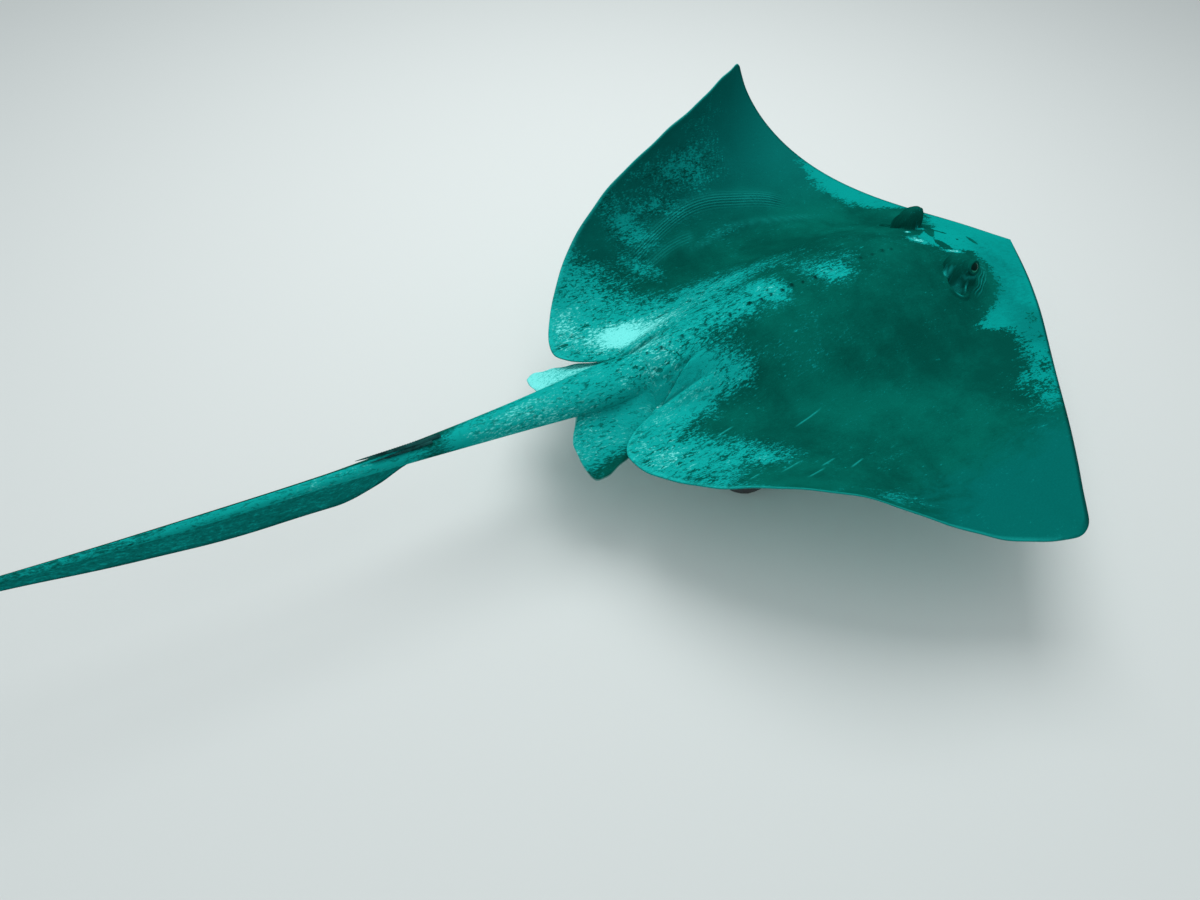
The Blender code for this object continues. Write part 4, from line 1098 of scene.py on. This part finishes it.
def write_flat_map(mesh, flat):
    """A UV map that lays the back and the belly side by side, each at one scale."""
    loops = np.zeros(len(mesh.loops), np.int32)
    mesh.loops.foreach_get("vertex_index", loops)
    totals = np.zeros(len(mesh.polygons), np.int32)
    mesh.polygons.foreach_get("loop_total", totals)
    begins = np.zeros(len(mesh.polygons), np.int32)
    mesh.polygons.foreach_get("loop_start", begins)
    x, y, sheet = flat[loops].T
    above = np.repeat(np.add.reduceat(sheet, begins) / totals, totals) > 0
    girth = read_values(mesh, "girth")[loops]
    over_rim = ~above & (sheet > 0) & (girth > 0)
    y = np.where(over_rim, np.sign(y) * (girth - np.abs(y)), y)
    # the pelvic fins lie apart, beside the tail
    fin = np.repeat(np.minimum.reduceat(read_values(mesh, "fin")[loops], begins), totals)
    aside = y * MAP_SCALE + 0.03 * fin * np.sign(y)
    across = np.where(above, 0.252 + aside, 0.748 - aside)
    along = 0.02 + (x - TAIL_ROOT + TAIL_LENGTH) * MAP_SCALE - 0.09 * fin
    layer = mesh.uv_layers.new(name="OFBake")
    layer.data.foreach_set("uv", np.stack((across, along), -1).astype(np.float32).ravel())


# Node helpers -----------------------------------------------------------------------------------

def add(tree, kind, inputs=None, **settings):
    """Adds a shader node; an input that is a socket is linked, any other value is set."""
    node = tree.nodes.new(kind)
    for key, value in settings.items():
        setattr(node, key, value)
    for key, value in (inputs or {}).items():
        if isinstance(value, bpy.types.NodeSocket):
            tree.links.new(value, node.inputs[key])
        else:
            node.inputs[key].default_value = value
    return node


def new_material(name, **values):
    """A material with its tree and its shader; values are for the shader's sockets."""
    material = bpy.data.materials.new(name)
    material.use_nodes = True
    shader = material.node_tree.nodes["Principled BSDF"]
    for key, value in values.items():
        shader.inputs[key.replace("_", " ")].default_value = value
    return material, material.node_tree, shader


def attribute(tree, name, vector=False):
    node = add(tree, "ShaderNodeAttribute", attribute_name=name)
    return node.outputs["Vector" if vector else "Fac"]


def noise(tree, vector, scale, detail=4.0, roughness=0.55, distortion=0.0):
    inputs = {"Vector": vector, "Scale": scale, "Detail": detail, "Roughness": roughness,
              "Distortion": distortion}
    return add(tree, "ShaderNodeTexNoise", inputs).outputs["Fac"]


def stretched(tree, vector, scale, turn=0.0):
    inputs = {"Vector": vector, "Scale": scale, "Rotation": (0.0, 0.0, radians(turn))}
    return add(tree, "ShaderNodeMapping", inputs).outputs["Vector"]


def contrast(tree, value, low=0.33, high=0.67):
    """Spreads a noise over the whole range from 0 to 1."""
    inputs = {"Value": value, "From Min": low, "From Max": high}
    return add(tree, "ShaderNodeMapRange", inputs).outputs["Result"]


def ramp(tree, value, low, high, top=1.0):
    inputs = {"Value": value, "From Min": low, "From Max": high, "To Max": top}
    node = add(tree, "ShaderNodeMapRange", inputs, interpolation_type="SMOOTHSTEP")
    return node.outputs["Result"]


def calc(tree, operation, first, second):
    return add(tree, "ShaderNodeMath", {0: first, 1: second}, operation=operation).outputs[0]


def times(tree, first, second):
    return calc(tree, "MULTIPLY", first, second)


def blend(tree, factor, first, second, mode="MIX"):
    """Mixes two colours; a plain colour may be given as three numbers."""
    node = add(tree, "ShaderNodeMix", data_type="RGBA", blend_type=mode)
    for socket, value in ((0, factor), (6, first), (7, second)):
        if isinstance(value, bpy.types.NodeSocket):
            tree.links.new(value, node.inputs[socket])
        elif socket:
            node.inputs[socket].default_value = (*value, 1.0)
        else:
            node.inputs[socket].default_value = value
    return node.outputs[2]


def bump(tree, height, distance, strength=1.0, normal=None):
    inputs = {"Height": height, "Distance": distance, "Strength": strength}
    if normal:
        inputs["Normal"] = normal
    return add(tree, "ShaderNodeBump", inputs).outputs["Normal"]


def finish(tree, shader, colour, sheen, low, high, normal):
    """Links the colour, a roughness that a noise takes from low to high, and the normal."""
    rough = add(tree, "ShaderNodeMapRange", {"Value": sheen, "To Min": low, "To Max": high})
    for name, socket in (("Base Color", colour), ("Roughness", rough.outputs["Result"]),
                         ("Normal", normal)):
        tree.links.new(socket, shader.inputs[name])


def plus(tree, mark, grain, weight):
    """A marking's strength with noise around its middle added, so that its edge breaks up."""
    shifted = times(tree, calc(tree, "SUBTRACT", grain, 0.5), weight)
    return calc(tree, "ADD", mark, shifted)


# Materials ----------------------------------------------------------------------------------------

def skin_material(looks):
    """Wet skin: marks stored on the mesh say where, and noises break up their edges."""
    material, tree, shader = new_material("wet_skin", Roughness=0.5, Specular_IOR_Level=0.0)
    flat = attribute(tree, "flat", vector=True)
    rays = attribute(tree, "rays", vector=True)
    marks = {name: attribute(tree, name) for name in
             ("front", "pale", "calm", "outer", "lifted", "deep", "lines", "dark", "belly",
              "edge", "lie")}
    clouds = contrast(tree, noise(tree, flat, 6.0, 6.0, 0.62))
    mottle = contrast(tree, noise(tree, stretched(tree, flat, (18, 34, 18)), 1.0, 10.0, 0.74, 0.5))
    brushed = noise(tree, stretched(tree, flat, (60, 210, 60)), 1.0, 6.0, 0.75, 0.4)
    radial = noise(tree, stretched(tree, rays, (26, 60, 16)), 1.0, 6.0, 0.78, 0.6)
    streaks = add(tree, "ShaderNodeMix", {0: marks["lie"], 2: brushed, 3: radial}).outputs[0]
    streaks = contrast(tree, streaks, 0.36, 0.64)
    flecks = noise(tree, stretched(tree, flat, (170, 400, 170)), 1.0, 4.0, 0.70, 0.3)
    flecks = contrast(tree, flecks, 0.36, 0.64)
    specks = noise(tree, stretched(tree, flat, (95, 230, 95), 12), 1.0, 3.0, 0.68, 0.8)
    grain = noise(tree, flat, 420.0, 3.0, 0.6)
    # back: soft clouds of dark and middle green, smoother and bluer on the outer wings
    tone = plus(tree, plus(tree, clouds, mottle, 0.35), flecks, 0.14)
    tone = calc(tree, "SUBTRACT", tone, times(tree, marks["deep"], 0.30))
    colour = blend(tree, ramp(tree, tone, 0.0, 1.0), looks.back_dark, looks.back_middle)
    colour = blend(tree, ramp(tree, plus(tree, marks["outer"], mottle, 0.5), 0.1, 0.9), colour,
                   looks.wing_teal)
    # painted light: the raised left wing, left in shade by the key light, is mixed towards the half
    # light colour
    lifted = times(tree, marks["lifted"], 0.85)
    colour = blend(tree, lifted, colour, looks.half_worn_and_painted_light)
    # light band round the snout, ragged along its rear edge and a little cloudy
    ragged = plus(tree, plus(tree, marks["front"], streaks, 0.50), mottle, 0.55)
    ragged = plus(tree, ragged, flecks, 0.40)
    # the dark patches darken the band too; on its right side this is painted shade
    shade = calc(tree, "ADD", plus(tree, clouds, streaks, 0.5), marks["deep"])
    band = blend(tree, ramp(tree, shade, 0.2, 1.4, 0.95),
                 looks.band_teal, looks.band_shade)
    colour = blend(tree, ramp(tree, ragged, 0.42, 0.60), colour, band)
    # worn skin: half light, then aqua, then almost white, in specks along the body; the almost white
    # also paints the highlights on the head
    specked = calc(tree, "SUBTRACT", 1.0, times(tree, marks["calm"], 0.80))
    broken = plus(tree, plus(tree, times(tree, streaks, 0.46), mottle, 0.46), flecks, 0.56)
    broken = times(tree, calc(tree, "SUBTRACT", broken, 0.23), specked)
    worn = calc(tree, "ADD", marks["pale"], broken)
    worn = calc(tree, "SUBTRACT", worn, times(tree, marks["deep"], 0.22))
    colour = blend(tree, ramp(tree, worn, 0.30, 0.46), colour, looks.half_worn_and_painted_light)
    colour = blend(tree, ramp(tree, worn, 0.48, 0.66), colour, looks.rear_aqua)
    bright = plus(tree, worn, flecks, 0.26)
    colour = blend(tree, ramp(tree, bright, 1.08, 1.58), colour, looks.bright_aqua)
    speckle = times(tree, ramp(tree, specks, 0.530, 0.585), ramp(tree, marks["pale"], 0.20, 0.5))
    speckle = times(tree, speckle, ramp(tree, plus(tree, mottle, clouds, 0.5), 0.80, 0.45))
    speckle = times(tree, speckle, ramp(tree, marks["pale"], 1.45, 1.05))
    speckle = times(tree, speckle, specked)
    colour = blend(tree, times(tree, speckle, 0.9), colour, looks.back_dark)
    # scars, worn fold crests, painted highlights on the head and along the rear rim, and tiny light
    # dots
    crest_and_glint_share = times(tree, marks["lines"], ramp(tree, brushed, 0.26, 0.50, 0.62))
    colour = blend(tree, crest_and_glint_share, colour, looks.crest_and_highlight_colour)
    dots = add(tree, "ShaderNodeTexVoronoi", {"Vector": flat, "Scale": 62.0, "Randomness": 1.0})
    sparse = ramp(tree, noise(tree, flat, 31.0, 1.0), 0.60, 0.64)
    dots = times(tree, ramp(tree, dots.outputs["Distance"], 0.085, 0.04), sparse)
    colour = blend(tree, times(tree, dots, 0.5), colour, looks.rear_aqua)
    # dark thorns, rims and stripe, and painted shade in the spiracles, under the eyes and in the root
    # valleys
    colour = blend(tree, times(tree, marks["dark"], 0.85), colour, looks.hollow_dark)
    # pale belly, dusky along its margin
    dusk = ramp(tree, plus(tree, marks["edge"], mottle, 0.7), 0.25, 1.0)
    under = blend(tree, dusk, looks.belly, looks.band_teal)
    under = blend(tree, ramp(tree, mottle, 0.55, 0.75, 0.3), under, looks.bright_aqua)
    colour = blend(tree, marks["belly"], colour, under)
    fine = ramp(tree, grain, 0.3, 0.7)
    colour = blend(tree, times(tree, fine, 0.10), colour, (0.0, 0.0, 0.0))
    sheen = ramp(tree, calc(tree, "ADD", mottle, times(tree, grain, 0.5)), 0.5, 1.0)
    fin_lines = noise(tree, stretched(tree, rays, (150, 5, 40)), 1.0, 2.0, 0.5)
    fin_lines = times(tree, fin_lines, ramp(tree, marks["outer"], 0.0, 0.8))
    normal = bump(tree, fin_lines, looks.grain_depth * 2.0, 0.35)
    normal = bump(tree, brushed, looks.grain_depth * 2.0, 0.45, normal)
    normal = bump(tree, grain, looks.grain_depth, 0.55, normal)
    finish(tree, shader, colour, sheen, 0.40, 0.62, normal)
    return material


def eye_material():
    """Dark eyeball with a light green iris and a round black-green pupil, thinly glossy."""
    material, tree, shader = new_material("wet_eye", Roughness=0.14, Specular_IOR_Level=0.03)
    gaze = attribute(tree, "gaze", vector=True)
    radial = noise(tree, stretched(tree, gaze, (40, 40, 8)), 1.0, 5.0, 0.6, 1.2)
    iris = blend(tree, ramp(tree, radial, 0.35, 0.65), (0.006, 0.200, 0.130), (0.040, 0.440, 0.290))
    ball = blend(tree, ramp(tree, radial, 0.3, 0.7), (0.001, 0.040, 0.030), (0.002, 0.070, 0.055))
    colour = blend(tree, attribute(tree, "iris"), ball, iris)
    colour = blend(tree, attribute(tree, "pupil"), colour, (0.0006, 0.0160, 0.0120))
    tree.links.new(colour, shader.inputs["Base Color"])
    return material


def horn_material():
    """Dull dark horn with fibres along the sting and stains."""
    material, tree, shader = new_material("horn", Roughness=0.55, Specular_IOR_Level=0.0)
    place = add(tree, "ShaderNodeTexCoord").outputs["Object"]
    fibres = noise(tree, stretched(tree, place, (18, 900, 900)), 1.0, 4.0, 0.6)
    stain = noise(tree, place, 60.0, 4.0, 0.6)
    colour = blend(tree, ramp(tree, stain, 0.35, 0.65), (0.003, 0.018, 0.018), (0.008, 0.060, 0.056))
    colour = blend(tree, ramp(tree, fibres, 0.50, 0.75, 0.5), colour, (0.020, 0.130, 0.118))
    finish(tree, shader, colour, fibres, 0.42, 0.70, bump(tree, fibres, 0.0004, 0.6))
    return material


def paint_material():
    """Satin dark grey paint with a faint orange-peel surface and soft clouds."""
    material, tree, shader = new_material("base_paint", Roughness=0.45, Coat_Weight=0.15)
    place = add(tree, "ShaderNodeTexCoord").outputs["Object"]
    peel = noise(tree, place, 900.0, 2.0, 0.5)
    cloud = noise(tree, place, 9.0, 4.0, 0.6)
    colour = blend(tree, ramp(tree, cloud, 0.35, 0.65), (0.040, 0.043, 0.045), (0.052, 0.056, 0.058))
    finish(tree, shader, colour, cloud, 0.36, 0.50, bump(tree, peel, 0.0002, 0.5))
    return material


def steel_material():
    """Brushed steel, its fine lines running round the rods."""
    material, tree, shader = new_material("brushed_steel", Metallic=1.0, Roughness=0.3)
    place = add(tree, "ShaderNodeTexCoord").outputs["Object"]
    lines = noise(tree, stretched(tree, place, (60, 60, 2600)), 1.0, 3.0, 0.6)
    colour = blend(tree, ramp(tree, lines, 0.3, 0.7), (0.52, 0.53, 0.54), (0.66, 0.67, 0.68))
    finish(tree, shader, colour, lines, 0.24, 0.42, bump(tree, lines, 0.0001, 0.4))
    return material


# Pieces ---------------------------------------------------------------------------------------------

def add_piece(name, mesh, material, nodes):
    """Links a new piece, holds it on the body and hides the solids that it stands for."""
    piece = bpy.data.objects.new(name, mesh)
    bpy.context.scene.collection.objects.link(piece)
    mesh.materials.clear()
    mesh.materials.append(material)
    mesh.shade_smooth()
    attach(piece, "root")
    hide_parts(*nodes)


class STINGRAY_OT_skin(bpy.types.Operator):
    """Build the one skin that covers the head, trunk, wings, pelvic fins and tail"""

    bl_idname = "stingray.skin"
    bl_label = "Build Skin"

    def execute(self, context):
        looks = context.scene.stingray_looks
        mesh = skin_mesh(looks)
        flat, values, in_tail = place_skin(mesh, looks)
        write_markings(mesh, flat, values, in_tail, looks)
        write_flat_map(mesh, flat)
        for name in ("solid", "tail", "below", "fin", "girth", "part", "reach", "ray"):
            mesh.attributes.remove(mesh.attributes[name])
        add_piece("stingray_skin", mesh, skin_material(looks),
                  ("head", "trunk", "left_wing", "right_wing", "left_pelvic_fin",
                   "right_pelvic_fin", "tail_base", "tail_middle", "tail_rear", "tail_whip"))
        return {"FINISHED"}


class STINGRAY_OT_eyes(bpy.types.Operator):
    """Build both eyeballs, each with an iris and a pupil"""

    bl_idname = "stingray.eyes"
    bl_label = "Build Eyes"

    def execute(self, context):
        material = eye_material()
        for name, side in (("left", 1), ("right", -1)):
            mesh = eye_mesh(name + "_eyeball", side)
            add_piece(name + "_eyeball", mesh, material, (name + "_eye",))
        return {"FINISHED"}


def eye_mesh(name, side):
    """A ball with a low cornea; gaze coordinates are stored for its iris and pupil."""
    centre, gaze, level, upward = eye_place(side)
    bm = bmesh.new()
    bmesh.ops.create_uvsphere(bm, u_segments=96, v_segments=64, radius=1.0)
    ways = np.array([vert.co[:] for vert in bm.verts])
    mesh = bpy.data.meshes.new(name)
    bm.to_mesh(mesh)
    bm.free()
    across, up, facing = ways[:, 0], ways[:, 1], ways[:, 2]
    cornea = 0.030 * bell(np.hypot(across, up) / 0.75) * (facing > 0)
    turned = across[:, None] * level + up[:, None] * upward + facing[:, None] * gaze
    points = centre + turned * EYE_RADIUS * (0.965 + cornea)[:, None]
    mesh.vertices.foreach_set("co", in_metres(points).astype(np.float32).ravel())
    write_values(mesh, "gaze", ways)
    off_pupil = np.hypot(across - PUPIL_SHIFT[0] * side, up - PUPIL_SHIFT[1])
    for key, off, edge in (("iris", np.hypot(across, up), IRIS_EDGE),
                           ("pupil", off_pupil, PUPIL_EDGE)):
        write_values(mesh, key, step(0.0, 0.1, facing) * step(*edge, off))
    return mesh


class STINGRAY_OT_stings(bpy.types.Operator):
    """Build the two saw-edged stings on top of the tail"""

    bl_idname = "stingray.stings"
    bl_label = "Build Stings"

    def execute(self, context):
        material = horn_material()
        for name, sizes in STINGS.items():
            add_piece(name + "_blade", sting_mesh(name, *sizes), material, (name,))
        return {"FINISHED"}


def sting_mesh(name, start, length, half_width, lift, sideways):
    """A tapering blade with a ridge and two grooves above, and teeth that point to its root."""
    per_tooth = 6
    count = STING_TEETH * per_tooth
    rings = []
    for i in range(count + 1):
        part = i / count
        behind = start + length * part
        taper = (1 - part) ** 0.55 * min(1.0, 0.75 + part)
        tooth = 1.0 - 0.24 * (i % per_tooth) / (per_tooth - 1)
        wide = max(half_width * taper, 0.0004)
        thick = max(STING_HALF_THICKNESS * (1 - part) ** 0.5, 0.0003)
        z = TAIL_CENTRE_HEIGHT + TAIL_RISE[0] * behind + TAIL_RISE[1] * behind ** 2
        z += float(eased(behind, TAIL_AT, TAIL_HALF_HEIGHT))
        z += STING_HALF_THICKNESS * 0.6 + lift * part ** 1.5
        y = TAIL_SWAY * behind ** 2 + sideways
        section = ((-tooth, 0.0), (-0.72, -0.45), (-0.3, -0.85), (0.0, -1.0), (0.3, -0.85),
                   (0.72, -0.45), (tooth, 0.0), (0.70, 0.42), (0.42, 0.50), (0.16, 0.86),
                   (0.0, 1.0), (-0.16, 0.86), (-0.42, 0.50), (-0.70, 0.42))
        rings.append([(TAIL_ROOT - behind, y + wide * a, z + thick * b) for a, b in section])
    sides = len(section)
    faces = [tuple(reversed(range(sides)))]
    for r in range(count):
        for c in range(sides):
            k = (c + 1) % sides
            faces.append((r * sides + c, r * sides + k, (r + 1) * sides + k, (r + 1) * sides + c))
    faces.append(tuple(count * sides + c for c in range(sides)))
    mesh = bpy.data.meshes.new(name + "_blade")
    mesh.from_pydata(in_metres(np.array(rings).reshape(-1, 3)).tolist(), [], faces)
    bm = bmesh.new()
    bm.from_mesh(mesh)
    bmesh.ops.recalc_face_normals(bm, faces=bm.faces)
    bm.to_mesh(mesh)
    bm.free()
    return mesh


class STINGRAY_OT_stand(bpy.types.Operator):
    """Finish the flat base and the two rods of the display stand"""

    bl_idname = "stingray.stand"
    bl_label = "Finish Stand"

    def execute(self, context):
        paint, steel = paint_material(), steel_material()
        for name, material in (("stand_base", paint), ("stand_front_rod", steel),
                               ("stand_rear_rod", steel)):
            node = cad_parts[name]
            node.data.materials.clear()
            node.data.materials.append(material)
        return {"FINISHED"}


# Studio -----------------------------------------------------------------------------------------------

def area_light(name, power, size, towards, distance, target):
    """A square soft light that looks at the target from a direction (x, y, z)."""
    light = bpy.data.lights.new(name, "AREA")
    light.energy = power
    light.size = size
    lamp = bpy.data.objects.new(name, light)
    bpy.context.scene.collection.objects.link(lamp)
    way = Vector(towards).normalized()
    lamp.location = Vector(target) + way * distance
    lamp.rotation_euler = way.to_track_quat("Z", "Y").to_euler()


def view_camera():
    """Sets the camera at its angle and roll; `back` points from the target to it."""
    back = Vector((sin(VIEW_AZIMUTH) * cos(VIEW_ELEVATION), -cos(VIEW_AZIMUTH) * cos(VIEW_ELEVATION),
                   sin(VIEW_ELEVATION)))
    right = Vector((cos(VIEW_AZIMUTH), sin(VIEW_AZIMUTH), 0.0))
    up = back.cross(right)
    across = right * cos(VIEW_ROLL) + up * sin(VIEW_ROLL)
    camera = bpy.data.objects.new("view_camera", bpy.data.cameras.new("view_camera"))
    camera.data.lens = VIEW_LENS
    camera.data.clip_start = 0.01
    bpy.context.scene.collection.objects.link(camera)
    camera.matrix_world = matrix_of(across, back.cross(across), back,
                                    in_metres(np.array(VIEW_TARGET) + VIEW_DISTANCE * np.array(back)))
    bpy.context.scene.camera = camera


def matrix_of(x_axis, y_axis, z_axis, place):
    rows = [(x_axis[i], y_axis[i], z_axis[i], place[i]) for i in range(3)]
    return Matrix((*rows, (0.0, 0.0, 0.0, 1.0)))


class STINGRAY_OT_studio(bpy.types.Operator):
    """Lay the plain floor and set the soft lights and the camera"""

    bl_idname = "stingray.studio"
    bl_label = "Set Studio"

    def execute(self, context):
        studio = context.scene.stingray_studio
        half = studio.floor_width / 2
        mesh = bpy.data.meshes.new("studio_floor")
        mesh.from_pydata([(-half, -half, 0), (half, -half, 0), (half, half, 0), (-half, half, 0)], [],
                         [(0, 1, 2, 3)])
        floor = bpy.data.objects.new("studio_floor", mesh)
        context.scene.collection.objects.link(floor)
        colour = (*studio.floor_colour, 1.0)
        material = new_material("plain_floor", Roughness=0.85, Base_Color=colour)[0]
        mesh.materials.append(material)
        low, high = CAD_BOX
        target = (low + high) / 2
        for name, (share, size, towards, distance) in LIGHTS.items():
            area_light(name, studio.key_power * share, size, towards, distance, target)
        world = bpy.data.worlds.new("studio")
        world.use_nodes = True
        backdrop = world.node_tree.nodes["Background"]
        backdrop.inputs["Color"].default_value = (*WORLD_COLOUR, 1.0)
        backdrop.inputs["Strength"].default_value = studio.fill_strength
        context.scene.world = world
        context.scene.view_settings.view_transform = "Standard"
        view_camera()
        return {"FINISHED"}


class STINGRAY_PT_panel(bpy.types.Panel):
    """Lists the sizes, the colours and the steps that build the model"""

    bl_idname = "STINGRAY_PT_panel"
    bl_label = "Stingray"
    bl_space_type = "VIEW_3D"
    bl_region_type = "UI"
    bl_category = "Stingray"

    def draw(self, context):
        for group in (context.scene.stingray_looks, context.scene.stingray_studio):
            box = self.layout.box()
            for name in group.__annotations__:
                box.prop(group, name)
        for operator in OPERATORS:
            self.layout.operator(operator.bl_idname)


OPERATORS = (STINGRAY_OT_skin, STINGRAY_OT_eyes, STINGRAY_OT_stings, STINGRAY_OT_stand,
             STINGRAY_OT_studio)
CLASSES = (StingrayLooks, StingrayStudio, *OPERATORS, STINGRAY_PT_panel)


def register():
    for entry in CLASSES:
        bpy.utils.register_class(entry)
    bpy.types.Scene.stingray_looks = PointerProperty(type=StingrayLooks)
    bpy.types.Scene.stingray_studio = PointerProperty(type=StingrayStudio)


def unregister():
    del bpy.types.Scene.stingray_studio
    del bpy.types.Scene.stingray_looks
    for entry in reversed(CLASSES):
        bpy.utils.unregister_class(entry)


def main():
    register()
    bpy.ops.stingray.skin()
    bpy.ops.stingray.eyes()
    bpy.ops.stingray.stings()
    bpy.ops.stingray.stand()
    bpy.ops.stingray.studio()


if __name__ == "__main__":
    main()
